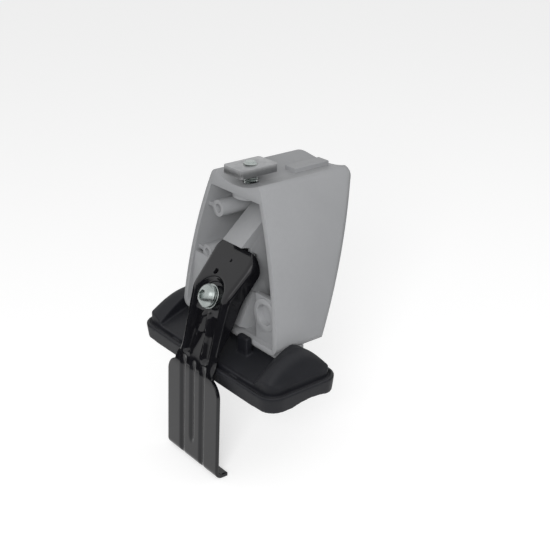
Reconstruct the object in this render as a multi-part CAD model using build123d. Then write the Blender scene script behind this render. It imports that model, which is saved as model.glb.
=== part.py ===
"""Roof bar foot: a moulded tower on a rubber pad, with a lever-type clamp bracket for the roof edge.

Frame: origin at the centre of the pad's underside, +X inboard along the roof bar, +Y along the car, +Z up.
All sizes are in millimetres.
"""

import os
from math import atan2, cos, degrees, hypot, radians, sin, tan

from build123d import *

# Rubber pad
PAD_LENGTH = 132.5
PAD_WIDTH = 52.4
PAD_CORNER = 11.0
PAD_SIDE_BOW = 0.8
PAD_BASE_HEIGHT = 10.0
PAD_BASE_TAPER = 7.0
PAD_EDGE_ROUND = 1.3
PAD_ARCH_DEPTH = 1.8
PAD_ARCH_WIDTH = 26.0
PAD_ARCH_RUN = 28.0
PAD_GROOVE = 1.4
PAD_RIM = 2.2
PAD_FLOOR_Z = 18.5
PAD_FLOOR_EDGE_Z = 12.0
PAD_FLOOR_SETBACK = 3.0
HUMP_OVERLAP = 1.0
HUMP_CREST_Z = 28.6
HUMP_CREST_X = 4.0
HUMP_EDGE_Z = 12.2
HUMP_EDGE_RISE = 4.0
HUMP_SIDE_POWER = 1.4
HUMP_FULLNESS = 0.65
HUMP_INBOARD_SHARE = 0.2
HUMP_END_Z = 11.5
HUMP_END_START = 0.4
HUMP_END_POWER = 3.4
LUG_LENGTH = 9.5
LUG_DEPTH = 4.0
LUG_HEIGHT = 4.5
LUG_SPACING = 40.0
LUG_CLEARANCE = 0.3

# Tower body
TOWER_HEIGHT = 93.0
TOWER_BASE_LENGTH = 92.8
TOWER_TOP_LENGTH = 43.6
TOWER_SIDE_BELLY = 4.2
TOWER_BASE_OUTER_X = -6.0
TOWER_BASE_DEPTH = 37.0
TOWER_TOP_OUTER_X = 1.8
TOWER_TOP_DEPTH = 72.5
TOWER_WALL = 3.4
TOWER_FLOOR = 3.0
TOWER_CORNER = 6.0
TOWER_BASE_CORNER = 5.0
TOWER_TOP_CORNER = 7.0
FOOT_HEIGHT = 4.0
FOOT_SETBACK = 4.0
FOOT_DEPTH = 17.0
FOOT_POCKET_WALL = 3.0
RECESS_CLEARANCE = 1.2
SADDLE_DEPTH = 4.8
SADDLE_WALL = 5.0
KEY_WIDTH = 9.0
KEY_HEIGHT = 3.0
KEY_LENGTH = 26.0
RIB_THICKNESS = 3.0
RIB_SPACING = 15.0
RIB_SLOPE = 40.0
RAMP_THICKNESS = 3.0
UPPER_BOSS = (17.0, 92.0, 5.0, 2.7)
MIDDLE_BOSS = (25.8, 62.5, 4.5, 2.2)
RING_BOSS = (-32.5, 43.3, 9.6, 6.4)
RING_RECESS = 4.0
BOSS_WEB = 2.4
BOSS_SETBACK = 1.5
SILL_THICKNESS = 3.0
SILL_REAR_TOP_Z = 60.0
SILL_FRONT_TOP_Z = 53.5
SILL_SLOT_CLEARANCE = 3.0

# Clamp bracket, pressed from one steel sheet
SHEET = 2.4
PLATE_WIDTH = 52.0
PLATE_DROP = 58.3
PLATE_TOP_Z = 4.6
PLATE_CORNER = 8.5
PLATE_LEAN = 2.8
JAW_CLEARANCE = 2.65
HOOK_REACH = 6.5
HOOK_BEND = 2.5
GROOVE_WIDTH = 5.6
GROOVE_DEPTH = 1.3
GROOVE_SPACING = 10.0
GROOVE_SHORTFALL = 11.0
CHANNEL_START_Z = 3.0
CHANNEL_LEAN = 15.5
CHANNEL_LOW_WIDTH = 32.5
CHANNEL_KNEE_WIDTH = 34.4
CHANNEL_TOP_WIDTH = 40.0
HEAD_CORNER_FRONT = 8.0
HEAD_CORNER_REAR = 4.5
KNEE_Z = 50.5
HEAD_LEAN = 45.0
HEAD_LENGTH = 31.5
HEAD_NOSE = 1.8
HEAD_NOSE_DROP = 11.0
FLANGE_DEPTH_LOW = 10.0
FLANGE_DEPTH_KNEE = 13.0
FOLD_RADIUS = 4.5
TROUGH_WIDTH = 25.0
SEAT_Z = 48.3
SEAT_DEPTH = 5.4
TROUGH_START_Z = 6.0
TROUGH_BEND_Z = 26.0
TROUGH_BEND_DEPTH = 4.3
RIDGE_WIDTH = 3.4
RIDGE_HEIGHT = 2.0
RIDGE_SPACING = 10.0
SEAT_LENGTH = 20.0
VENT_HOLE = (4.7, 12.8, 1.7)
PILOT_HOLE = (-1.1, 22.3, 0.8)

# Clamp bolt, washer and nut (M8)
BOLT_TILT = 28.0
BOLT_RADIUS = 4.0
BOLT_LENGTH = 40.0
BOLT_HEAD_RADIUS = 7.0
BOLT_HEAD_HEIGHT = 4.4
BOLT_SOCKET = 5.0
BOLT_SOCKET_DEPTH = 2.6
BOLT_CLEARANCE = 0.5
BOLT_SLOT = 4.0
BOLT_TIP_CHAMFER = 0.8
WASHER_RADIUS = 7.5
WASHER_RIM = 1.6
WASHER_NECK = 2.4
WASHER_NECK_RADIUS = 6.5
WASHER_COLLAR = 2.0
WASHER_COLLAR_RADIUS = 5.8
NUT_WIDTH = 13.0
NUT_THICKNESS = 6.5
NUT_DISTANCE = 21.0
NUT_CLEARANCE = 0.15
THREAD_CLEARANCE = 0.05
BOLT_BOSS_WIDTH = 22.0
BOLT_BOSS_WALL = 4.0

# Bearing plate behind the bracket's head
BEARING_THICKNESS = 1.5
BEARING_WIDTH = 24.0
BEARING_CLEARANCE = 0.42
BEARING_HEIGHT = 17.0
BEARING_TOP_DROP = 1.6
RIB_NOSE_REACH = 7.2
RIB_NOSE_RISE = 1.6
RIB_NOSE_GAP = 1.6

# Bar bolt, washer and slider (M8) under the roof bar
BAR_BOLT_X = 12.5
BAR_BOLT_RADIUS = 4.0
BAR_BOLT_HEAD_RADIUS = 6.5
BAR_BOLT_HEAD_HEIGHT = 4.4
BAR_BOLT_PROUD = 1.5
BAR_WASHER_RADIUS = 8.0
BAR_WASHER_THICKNESS = 1.6
BAR_BOSS_RADIUS = 10.5
BAR_BOSS_DROP = 3.2
BAR_POCKET_RISE = 2.8
BAR_HEAD_CLEARANCE = 1.0
SLIDER_LENGTH = 26.0
SLIDER_WIDTH = 18.0
SLIDER_THICKNESS = 5.0
SLIDER_CORNER = 2.0
SLOT_LIP = 5.5

# Places worked out from the sizes above
TOWER_BASE_Z = PAD_FLOOR_Z + FOOT_HEIGHT
SEAT_EDGE_Z = TOWER_BASE_Z + TOWER_HEIGHT
SADDLE_Z = SEAT_EDGE_Z - SADDLE_DEPTH
CEILING_Z = SADDLE_Z - SADDLE_WALL
FLOOR_TOP_Z = TOWER_BASE_Z + TOWER_FLOOR
RECESS_HALF = TOWER_BASE_LENGTH / 2 + RECESS_CLEARANCE
PLATE_X = -(PAD_WIDTH / 2 + PAD_SIDE_BOW + JAW_CLEARANCE + SHEET)
KNEE_X = PLATE_X + (KNEE_Z - CHANNEL_START_Z) * tan(radians(CHANNEL_LEAN))
HEAD_X = KNEE_X + HEAD_LENGTH * sin(radians(HEAD_LEAN))
HEAD_Z = KNEE_Z + HEAD_LENGTH * cos(radians(HEAD_LEAN))
BEARING_X = HEAD_X + HEAD_NOSE + BEARING_CLEARANCE
BEARING_TOP_Z = HEAD_Z - BEARING_TOP_DROP
WASHER_THICKNESS = WASHER_NECK + WASHER_RIM + WASHER_COLLAR
BOLT_OUT = (-cos(radians(BOLT_TILT)), sin(radians(BOLT_TILT)))
BOLT_ACROSS = (sin(radians(BOLT_TILT)), cos(radians(BOLT_TILT)))
SEAT_FRONT_X = PLATE_X + (SEAT_Z - CHANNEL_START_Z) * tan(radians(CHANNEL_LEAN))
BOLT_SEAT = (SEAT_FRONT_X - BOLT_OUT[0] * SEAT_DEPTH, SEAT_Z - BOLT_OUT[1] * SEAT_DEPTH)
BAR_WASHER_TOP_Z = CEILING_Z + BAR_POCKET_RISE
BAR_HEAD_TOP_Z = BAR_WASHER_TOP_Z - BAR_WASHER_THICKNESS
SLIDER_Z = SADDLE_Z + SLOT_LIP


def side_prism(points, half_width):
    """Return a prism with an outline in XZ, centred on Y = 0."""
    outline = Plane.XZ * make_face(Polyline(*points, close=True))
    return extrude(outline, half_width, both=True)


def end_prism(face, x_from, x_to):
    """Return a prism along X with an outline in YZ, given as a face drawn in local coordinates."""
    return extrude(Plane.YZ.offset(x_from) * face, x_to - x_from)


def offset_line(points, distance):
    """Return an open polyline moved to its right-hand side by a distance, with mitred corners."""
    shifted = []
    for (x0, z0), (x1, z1) in zip(points, points[1:]):
        length = hypot(x1 - x0, z1 - z0)
        step = ((z1 - z0) / length * distance, -(x1 - x0) / length * distance)
        shifted.append(((x0 + step[0], z0 + step[1]), (x1 + step[0], z1 + step[1])))
    result = [shifted[0][0]]
    for first, second in zip(shifted, shifted[1:]):
        result.append(crossing(first, second))
    result.append(shifted[-1][1])
    return result


def crossing(first, second):
    """Return the point where two lines cross, each given by two points."""
    (ax, az), (bx, bz) = first
    (cx, cz), (dx, dz) = second
    cross = (bx - ax) * (dz - cz) - (bz - az) * (dx - cx)
    if abs(cross) < 1e-9:
        return first[1]
    along = ((cx - ax) * (dz - cz) - (cz - az) * (dx - cx)) / cross
    return (ax + along * (bx - ax), az + along * (bz - az))


def mirrored(solid):
    """Return a solid together with its mirror image across the XZ plane."""
    return [solid, mirror(solid, about=Plane.XZ)]


def channel_point(z, depth):
    """Return the point behind the bracket's leaning front line, at a depth square to that line."""
    lean = radians(CHANNEL_LEAN)
    front_x = PLATE_X + (z - CHANNEL_START_Z) * tan(lean)
    return (front_x + depth * cos(lean), z - depth * sin(lean))


def along_bolt(distance, across=0.0):
    """Return the XZ point at a distance outward along the clamp bolt's axis from the bracket's seat."""
    x = BOLT_SEAT[0] + BOLT_OUT[0] * distance + BOLT_ACROSS[0] * across
    z = BOLT_SEAT[1] + BOLT_OUT[1] * distance + BOLT_ACROSS[1] * across
    return (x, z)


def bolt_plane(distance):
    """Return the plane square to the clamp bolt's axis at a distance outward from the seat."""
    x, z = along_bolt(distance)
    return Plane(origin=(x, 0, z), x_dir=(0, 1, 0), z_dir=(BOLT_OUT[0], 0, BOLT_OUT[1]))


def tower_outer_x(z):
    """Return where the tower's open outer edge lies at a height."""
    return TOWER_BASE_OUTER_X + (TOWER_TOP_OUTER_X - TOWER_BASE_OUTER_X) * (z - TOWER_BASE_Z) / TOWER_HEIGHT


def tower_inboard_x(z):
    """Return where the tower's inboard wall lies at a height."""
    base = TOWER_BASE_OUTER_X + TOWER_BASE_DEPTH
    top = TOWER_TOP_OUTER_X + TOWER_TOP_DEPTH
    return base + (top - base) * (z - TOWER_BASE_Z) / TOWER_HEIGHT


def pad_outline(inset):
    """Return the pad's outline seen from above, drawn in by an inset all round."""
    half_x = PAD_WIDTH / 2 - inset
    half_y = PAD_LENGTH / 2 - inset
    edges = [
        ThreePointArc((-half_x, -half_y), (-half_x - PAD_SIDE_BOW, 0), (-half_x, half_y)),
        Line((-half_x, half_y), (half_x, half_y)),
        ThreePointArc((half_x, half_y), (half_x + PAD_SIDE_BOW, 0), (half_x, -half_y)),
        Line((half_x, -half_y), (-half_x, -half_y)),
    ]
    face = make_face(edges)
    return fillet(face.vertices(), PAD_CORNER - inset)


def hump_height(x, half_x, step):
    """Return a hump's height at a place across the pad and a step from its tower side to its end."""
    reach = HUMP_CREST_X + half_x if x < HUMP_CREST_X else half_x - HUMP_CREST_X
    fuller = min(1.0, step / HUMP_END_START) * (1.0 if x < HUMP_CREST_X else HUMP_INBOARD_SHARE)
    edge = HUMP_EDGE_Z + HUMP_EDGE_RISE * fuller
    drop = (abs(x - HUMP_CREST_X) / reach) ** (HUMP_SIDE_POWER + HUMP_FULLNESS * fuller)
    fade = max(0.0, (step - HUMP_END_START) / (1 - HUMP_END_START)) ** HUMP_END_POWER
    return HUMP_END_Z + (edge + (HUMP_CREST_Z - edge) * (1 - drop) - HUMP_END_Z) * (1 - fade)


def make_hump(inset):
    """Return the hump at the pad's +Y end, lofted through sections that fill out and then fall."""
    half_x = PAD_WIDTH / 2 + PAD_SIDE_BOW - inset
    start = RECESS_HALF - HUMP_OVERLAP
    end = PAD_LENGTH / 2 - inset
    low = PAD_BASE_HEIGHT / 2
    sections = []
    for step in (0.0, 0.15, 0.35, 0.55, 0.72, 0.85, 0.94, 1.0):
        places = [-half_x + 2 * half_x * count / 12 for count in range(13)]
        tops = [(x, hump_height(x, half_x, step)) for x in places]
        top = Spline(*tops)
        outline = make_face([
            top, Line(tops[-1], (half_x, low)), Line((half_x, low), (-half_x, low)),
            Line((-half_x, low), tops[0])])
        sections.append(Plane.XZ.offset(-(start + (end - start) * step)) * outline)
    return loft(sections) & extrude(pad_outline(inset), 2 * HUMP_CREST_Z)


def make_pad():
    """Return the rubber pad: a tapered base, two end humps, a sloping seat and two locating lugs."""
    drawn_in = PAD_BASE_HEIGHT * tan(radians(PAD_BASE_TAPER))
    base = loft([pad_outline(drawn_in), Pos(0, 0, PAD_BASE_HEIGHT) * pad_outline(0)])
    base = fillet(base.faces().sort_by(Axis.Z)[-1].edges(), PAD_EDGE_ROUND)
    groove_inset = PAD_RIM + PAD_GROOVE
    groove = extrude(pad_outline(PAD_RIM) - pad_outline(groove_inset), PAD_BASE_HEIGHT)
    base -= Pos(0, 0, PAD_BASE_HEIGHT - PAD_GROOVE) * groove

    humps = None
    for end in mirrored(make_hump(groove_inset)):
        humps = end if humps is None else humps + end
    inside = extrude(pad_outline(groove_inset), PAD_FLOOR_Z + PAD_GROOVE)
    seat = inside & Box(2 * PAD_WIDTH, 2 * RECESS_HALF - RECESS_CLEARANCE / 2, 4 * PAD_FLOOR_Z)
    humps += seat + (inside & Box(2 * PAD_WIDTH, 2 * PAD_LENGTH, 2 * PAD_BASE_HEIGHT))

    floor_run = (PAD_FLOOR_Z - PAD_FLOOR_EDGE_Z) / tan(radians(CHANNEL_LEAN + 4))
    ramp_end = TOWER_BASE_OUTER_X + PAD_FLOOR_SETBACK
    inner = TOWER_BASE_OUTER_X + FOOT_SETBACK + FOOT_DEPTH + RECESS_CLEARANCE
    inner_end = inner + PAD_FLOOR_Z - PAD_FLOOR_EDGE_Z
    far = PAD_WIDTH
    recess = side_prism([
        (-far, PAD_FLOOR_EDGE_Z), (ramp_end - floor_run, PAD_FLOOR_EDGE_Z), (ramp_end, PAD_FLOOR_Z),
        (inner, PAD_FLOOR_Z), (inner_end, PAD_FLOOR_EDGE_Z), (far, PAD_FLOOR_EDGE_Z),
        (far, 2 * HUMP_CREST_Z), (-far, 2 * HUMP_CREST_Z)], RECESS_HALF)
    pad = base + (humps - recess)

    lug_back = TOWER_BASE_OUTER_X - LUG_CLEARANCE
    lug = Box(LUG_DEPTH, LUG_LENGTH, TOWER_BASE_Z + LUG_HEIGHT - PAD_FLOOR_EDGE_Z,
              align=(Align.MAX, Align.CENTER, Align.MIN))
    lug = fillet(lug.edges().group_by(Axis.Z)[-1], LUG_DEPTH / 4)
    for solid in mirrored(Pos(lug_back, LUG_SPACING / 2, PAD_FLOOR_EDGE_Z) * lug):
        pad += solid

    arch_radius = (PAD_ARCH_WIDTH ** 2 / 4 + PAD_ARCH_DEPTH ** 2) / (2 * PAD_ARCH_DEPTH)
    arch = Pos(0, 0, -arch_radius) * (Rot(90, 0, 0) * Cylinder(arch_radius, 2 * PAD_ARCH_RUN))
    slope = degrees(atan2(PAD_ARCH_DEPTH, PAD_ARCH_RUN))
    for solid in mirrored(Pos(HUMP_CREST_X, PAD_LENGTH / 2, PAD_ARCH_DEPTH) * (Rot(slope, 0, 0) * arch)):
        pad -= solid
    return pad


def tower_end_face(inset, base_corner):
    """Return the tower's outline seen along the bar, drawn in by an inset, with round base corners."""
    base = TOWER_BASE_LENGTH / 2
    top = TOWER_TOP_LENGTH / 2
    middle = (base + top) / 2 + TOWER_SIDE_BELLY
    middle_z = TOWER_BASE_Z + TOWER_HEIGHT / 2
    side = ThreePointArc(
        (base - inset, TOWER_BASE_Z), (middle - inset, middle_z), (top - inset, SEAT_EDGE_Z))
    other = ThreePointArc(
        (inset - top, SEAT_EDGE_Z), (inset - middle, middle_z), (inset - base, TOWER_BASE_Z))
    face = make_face([side, Line(side @ 1, other @ 0), other, Line(other @ 1, side @ 0)])
    return fillet(face.vertices().sort_by(Axis.Y)[:2], base_corner) if base_corner else face


def make_tower_shell():
    """Return the tower's outer block and the same block hollowed out from its open side."""
    top_x = tower_inboard_x(SEAT_EDGE_Z)
    side_face = make_face(Polyline(
        (TOWER_BASE_OUTER_X, TOWER_BASE_Z), (tower_inboard_x(TOWER_BASE_Z), TOWER_BASE_Z),
        (top_x, SEAT_EDGE_Z), (TOWER_TOP_OUTER_X, SEAT_EDGE_Z), close=True))
    side_face = fillet(side_face.vertices().sort_by(Axis.X)[-1], TOWER_TOP_CORNER)
    block = extrude(Plane.XZ * side_face, TOWER_BASE_LENGTH, both=True)
    block &= end_prism(tower_end_face(0, 0), -top_x, 2 * top_x)
    long_edges = [edge for edge in block.edges()
                  if edge.length > TOWER_HEIGHT / 2 and edge.center().X > TOWER_BASE_DEPTH]
    block = fillet(long_edges, TOWER_CORNER)
    block &= end_prism(tower_end_face(0, TOWER_BASE_CORNER), -top_x, 2 * top_x)

    wall_x = TOWER_WALL * hypot(1, (top_x - tower_inboard_x(TOWER_BASE_Z)) / TOWER_HEIGHT)
    hollow = side_prism([
        (-top_x, FLOOR_TOP_Z), (tower_inboard_x(FLOOR_TOP_Z) - wall_x, FLOOR_TOP_Z),
        (tower_inboard_x(CEILING_Z) - wall_x, CEILING_Z), (-top_x, CEILING_Z)], TOWER_BASE_LENGTH)
    hollow &= end_prism(tower_end_face(TOWER_WALL, TOWER_BASE_CORNER), -top_x, 2 * top_x)
    return block, block - hollow


def x_tube(y, z, radius, x_from, x_to):
    """Return a cylinder along X at a place in YZ."""
    return extrude(Plane.YZ.offset(x_from) * Pos(y, z) * Circle(radius), x_to - x_from)


def make_tower_ribs():
    """Return the two ribs behind the bracket's head, notched for its bearing plate, and their ramp."""
    nose_x = BEARING_X - RIB_NOSE_REACH
    step_z = HEAD_Z + RIB_NOSE_GAP
    nose_z = step_z + RIB_NOSE_RISE
    ceiling_x = nose_x + (CEILING_Z - nose_z) / tan(radians(RIB_SLOPE))
    seat_x = BEARING_X + BEARING_THICKNESS
    rib = side_prism([
        (BEARING_X, TOWER_BASE_Z), (BEARING_X, BEARING_TOP_Z - BEARING_HEIGHT),
        (seat_x, BEARING_TOP_Z - BEARING_HEIGHT), (seat_x, BEARING_TOP_Z), (BEARING_X, BEARING_TOP_Z),
        (BEARING_X, step_z), (nose_x, nose_z), (ceiling_x, CEILING_Z), (ceiling_x, SADDLE_Z),
        (tower_inboard_x(SADDLE_Z), SADDLE_Z), (tower_inboard_x(TOWER_BASE_Z), TOWER_BASE_Z)],
        RIB_THICKNESS / 2)
    top_z = CEILING_Z + SADDLE_WALL / 2
    top_x = nose_x + (top_z - nose_z) / tan(radians(RIB_SLOPE))
    back = RAMP_THICKNESS / sin(radians(RIB_SLOPE))
    ramp = side_prism(
        [(nose_x, nose_z), (top_x, top_z), (top_x + back, top_z), (nose_x + back, nose_z)], RIB_SPACING / 2)
    return mirrored(Pos(0, RIB_SPACING / 2, 0) * rib) + [ramp]


def make_tower_bosses():
    """Return the bosses and sills of the open side, and the holes to cut in the bosses."""
    solids = []
    holes = []
    for y, z, radius, hole in (UPPER_BOSS, MIDDLE_BOSS):
        face_x = tower_outer_x(z) + BOSS_SETBACK
        back_x = tower_inboard_x(z)
        web = Box(back_x - face_x - BOSS_SETBACK, TOWER_BASE_LENGTH / 2, BOSS_WEB,
                  align=(Align.MIN, Align.MIN, Align.CENTER))
        solids.append(x_tube(y, z, radius, face_x, back_x) + Pos(face_x + BOSS_SETBACK, y, z) * web)
        holes.append(x_tube(y, z, hole, face_x - 1, face_x + 4 * radius))
    y, z, radius, hole = RING_BOSS
    face_x = tower_outer_x(z) + BOSS_SETBACK / 2
    solids.append(x_tube(y, z, radius, face_x, face_x + BOSS_SETBACK + 2 * SILL_THICKNESS))
    holes.append(x_tube(y, z, hole, face_x - 1, face_x + RING_RECESS))
    slot = CHANNEL_TOP_WIDTH / 2 + SILL_SLOT_CLEARANCE
    for y, side, top_z in ((slot, Align.MIN, SILL_REAR_TOP_Z), (-slot, Align.MAX, SILL_FRONT_TOP_Z)):
        sill = Box(SILL_THICKNESS, TOWER_BASE_LENGTH / 2, top_z - TOWER_BASE_Z,
                   align=(Align.MIN, side, Align.MIN))
        solids.append(Pos(face_x + BOSS_SETBACK, y, TOWER_BASE_Z) * sill)
    return solids, holes


def make_bolt_boss():
    """Return the slanted boss that holds the clamp nut, and the cuts for the nut and the bolt."""
    depth = NUT_THICKNESS + 2 * NUT_CLEARANCE
    start = NUT_DISTANCE - BOLT_BOSS_WALL
    outline = bolt_plane(-start) * Rectangle(BOLT_BOSS_WIDTH, BOLT_BOSS_WIDTH)
    boss = extrude(outline, -(depth + 2 * BOLT_BOSS_WALL))
    opening = NUT_WIDTH + 2 * NUT_CLEARANCE
    pocket_outline = Rectangle(opening, opening) + Pos(0, opening) * Rectangle(opening, 2 * opening)
    if bolt_plane(0).y_dir.Z < 0:
        pocket_outline = Rot(0, 0, 180) * pocket_outline
    pocket = extrude(bolt_plane(NUT_CLEARANCE - NUT_DISTANCE) * pocket_outline, -depth)
    bore = extrude(bolt_plane(0) * Circle(BOLT_RADIUS + BOLT_CLEARANCE), -(BOLT_LENGTH + BOLT_BOSS_WALL))
    return boss, [pocket, bore]


def make_tower():
    """Return the moulded tower with its ribs, bosses, foot, saddle and key."""
    block, tower = make_tower_shell()
    bosses, holes = make_tower_bosses()
    bolt_boss, bolt_cuts = make_bolt_boss()
    bar_boss = Pos(BAR_BOLT_X, 0, CEILING_Z - BAR_BOSS_DROP) * Cylinder(
        BAR_BOSS_RADIUS, BAR_BOSS_DROP + SADDLE_WALL, align=(Align.CENTER, Align.CENTER, Align.MIN))
    for solid in make_tower_ribs() + bosses + [bolt_boss, bar_boss]:
        tower += solid & block

    foot_x = TOWER_BASE_OUTER_X + FOOT_SETBACK
    foot_y = TOWER_BASE_LENGTH - 2 * RECESS_CLEARANCE
    low = (Align.MIN, Align.CENTER, Align.MIN)
    foot = Pos(foot_x, 0, PAD_FLOOR_Z) * Box(FOOT_DEPTH, foot_y, FOOT_HEIGHT + TOWER_FLOOR / 2, align=low)
    pocket_y = foot_y / 2 - 1.5 * FOOT_POCKET_WALL
    pocket = Box(FOOT_DEPTH - 2 * FOOT_POCKET_WALL, pocket_y, FOOT_HEIGHT, align=Align.MIN)
    tower += foot
    for solid in mirrored(Pos(foot_x + FOOT_POCKET_WALL, FOOT_POCKET_WALL / 2, PAD_FLOOR_Z) * pocket):
        tower -= solid

    half = TOWER_TOP_LENGTH / 2
    saddle_radius = (half ** 2 + SADDLE_DEPTH ** 2) / (2 * SADDLE_DEPTH)
    saddle = Rot(0, 90, 0) * Cylinder(saddle_radius, 6 * TOWER_TOP_DEPTH)
    tower -= Pos(0, 0, SADDLE_Z + saddle_radius) * saddle
    key_x = tower_inboard_x(SEAT_EDGE_Z) - TOWER_TOP_CORNER - KEY_LENGTH
    key = Box(KEY_LENGTH, KEY_WIDTH, SADDLE_WALL / 2 + KEY_HEIGHT, align=low)
    key = fillet(key.edges().group_by(Axis.Z)[-1], KEY_HEIGHT / 4)
    tower += Pos(key_x, 0, SADDLE_Z - SADDLE_WALL / 2) * key

    up = (Align.CENTER, Align.CENTER, Align.MIN)
    pocket_depth = BAR_BOSS_DROP + BAR_POCKET_RISE
    head_pocket = Cylinder(BAR_WASHER_RADIUS + BAR_HEAD_CLEARANCE, pocket_depth, align=up)
    bar_hole = Cylinder(BAR_BOLT_RADIUS + BOLT_CLEARANCE, 2 * SADDLE_WALL, align=up)
    tower -= Pos(BAR_BOLT_X, 0, CEILING_Z - BAR_BOSS_DROP) * head_pocket
    tower -= Pos(BAR_BOLT_X, 0, CEILING_Z) * bar_hole
    for cut in holes + bolt_cuts:
        tower -= cut
    return tower


def make_plate():
    """Return the bracket's flat plate with its hook, rounded shoulders and pressed grooves."""
    bottom = -PLATE_DROP
    inner_x = PLATE_X + SHEET
    plate = side_prism([
        (PLATE_X, bottom), (inner_x + HOOK_REACH, bottom), (inner_x + HOOK_REACH, bottom + SHEET),
        (inner_x, bottom + SHEET), (inner_x, PLATE_TOP_Z), (PLATE_X, PLATE_TOP_Z)], PLATE_WIDTH / 2)
    inner_bend = [edge for edge in plate.edges().filter_by(Axis.Y)
                  if abs(edge.center().X - inner_x) < 0.01 and edge.center().Z < bottom + 2 * SHEET]
    plate = fillet(inner_bend, HOOK_BEND)
    outer_bend = [edge for edge in plate.edges().filter_by(Axis.Y)
                  if abs(edge.center().X - PLATE_X) < 0.01 and edge.center().Z < bottom + SHEET / 2]
    plate = fillet(outer_bend, HOOK_BEND + SHEET)
    shoulders = [edge for edge in plate.edges().filter_by(Axis.X)
                 if abs(edge.center().Z - PLATE_TOP_Z) < 0.01]
    plate = fillet(shoulders, PLATE_CORNER)
    return plate


def leaning(solid):
    """Return a solid turned by the plate's lean about the line where the channel starts."""
    turned = Rot(0, PLATE_LEAN, 0) * (Pos(-PLATE_X, 0, -CHANNEL_START_Z) * solid)
    return Pos(PLATE_X, 0, CHANNEL_START_Z) * turned


def groove_bar(y, z_from, z_to, x, radius):
    """Return a bar with rounded ends along Z, used to press a groove into the plate."""
    bar = Pos(x, y, z_from) * Cylinder(radius, z_to - z_from, align=(Align.CENTER, Align.CENTER, Align.MIN))
    return bar + Pos(x, y, z_from) * Sphere(radius)


def press_grooves(bracket):
    """Return the bracket with its three vertical grooves pressed in from the front."""
    half = GROOVE_WIDTH / 2
    radius = (half ** 2 + GROOVE_DEPTH ** 2) / (2 * GROOVE_DEPTH)
    cut_x = PLATE_X + GROOVE_DEPTH - radius
    hook_z = HOOK_BEND + SHEET - PLATE_DROP
    for column in (-1, 0, 1):
        low = hook_z + (GROOVE_SHORTFALL if column == 0 else 0)
        y = column * GROOVE_SPACING
        bump = groove_bar(y, low, PLATE_TOP_Z - GROOVE_WIDTH, cut_x + SHEET, radius)
        keep = Pos(PLATE_X + SHEET / 2, y, low) * Box(
            SHEET + GROOVE_DEPTH, 2 * GROOVE_WIDTH, 4 * PLATE_DROP,
            align=(Align.MIN, Align.CENTER, Align.CENTER))
        bracket += leaning(bump & keep)
    for column in (-1, 0, 1):
        low = hook_z + (GROOVE_SHORTFALL if column == 0 else 0)
        bracket -= leaning(groove_bar(column * GROOVE_SPACING, low, PLATE_TOP_Z, cut_x, radius))
    return bracket


def channel_front(inset):
    """Return the bracket's front line seen from the side, moved inward by an inset."""
    line = [(PLATE_X, CHANNEL_START_Z), (KNEE_X, KNEE_Z), (HEAD_X, HEAD_Z)]
    return offset_line(line, inset)


def channel_outline(inset, corners=()):
    """Return a prism along X with the channel's outline seen from the front, and its given top corners."""
    low = CHANNEL_LOW_WIDTH / 2 - inset
    knee = CHANNEL_KNEE_WIDTH / 2 - inset
    top = CHANNEL_TOP_WIDTH / 2 - inset
    rise = HEAD_LENGTH if inset else 0
    high = top + (top - knee) / (HEAD_Z - KNEE_Z) * rise
    face = make_face(Polyline(
        (-low, CHANNEL_START_Z), (low, CHANNEL_START_Z), (knee, KNEE_Z), (high, HEAD_Z + rise),
        (-high, HEAD_Z + rise), (-knee, KNEE_Z), close=True))
    for side, radius in enumerate(corners):
        face = fillet(face.vertices().sort_by(Axis.Y)[-2:].sort_by(Axis.X)[side], radius)
    return end_prism(face, 2 * PLATE_X, -4 * PLATE_X)


def make_channel():
    """Return the bracket's channel: leaning web, head and side flanges of one sheet thickness."""
    low_z = CHANNEL_START_Z + 0.2 * (KNEE_Z - CHANNEL_START_Z)
    mid_z = CHANNEL_START_Z + 0.65 * (KNEE_Z - CHANNEL_START_Z)
    body = side_prism(channel_front(0) + [
        (HEAD_X + HEAD_NOSE, HEAD_Z - HEAD_NOSE), (HEAD_X + HEAD_NOSE, HEAD_Z - HEAD_NOSE_DROP),
        channel_point(KNEE_Z, FLANGE_DEPTH_KNEE), channel_point(mid_z, FLANGE_DEPTH_LOW),
        channel_point(low_z, SHEET), (PLATE_X + SHEET, CHANNEL_START_Z)], CHANNEL_TOP_WIDTH)
    body &= channel_outline(0)
    folds = [edge for edge in body.edges()
             if edge.length > HEAD_LENGTH / 2 and abs(edge.center().Y) > TROUGH_WIDTH / 2
             and on_front(edge.center())]
    body = fillet(folds, FOLD_RADIUS) & channel_outline(0, (HEAD_CORNER_FRONT, HEAD_CORNER_REAR))
    inner = channel_front(SHEET)
    far = HEAD_X + 4 * HEAD_LENGTH
    end_x = inner[2][0] + HEAD_LENGTH * sin(radians(HEAD_LEAN))
    end_z = inner[2][1] + HEAD_LENGTH * cos(radians(HEAD_LEAN))
    hollow = side_prism(
        inner[:2] + [(end_x, end_z), (far, end_z), (far, CHANNEL_START_Z - SHEET)], CHANNEL_TOP_WIDTH)
    return body - (hollow & channel_outline(SHEET))


def on_front(point):
    """Tell whether a point lies close to the bracket's front line seen from the side."""
    line = channel_front(0)
    for (x0, z0), (x1, z1) in zip(line, line[1:]):
        length = hypot(x1 - x0, z1 - z0)
        off = ((point.X - x0) * (z1 - z0) - (point.Z - z0) * (x1 - x0)) / length
        along = ((point.X - x0) * (x1 - x0) + (point.Z - z0) * (z1 - z0)) / length
        if abs(off) < 0.05 and -0.05 < along < length + 0.05:
            return True
    return False


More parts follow.
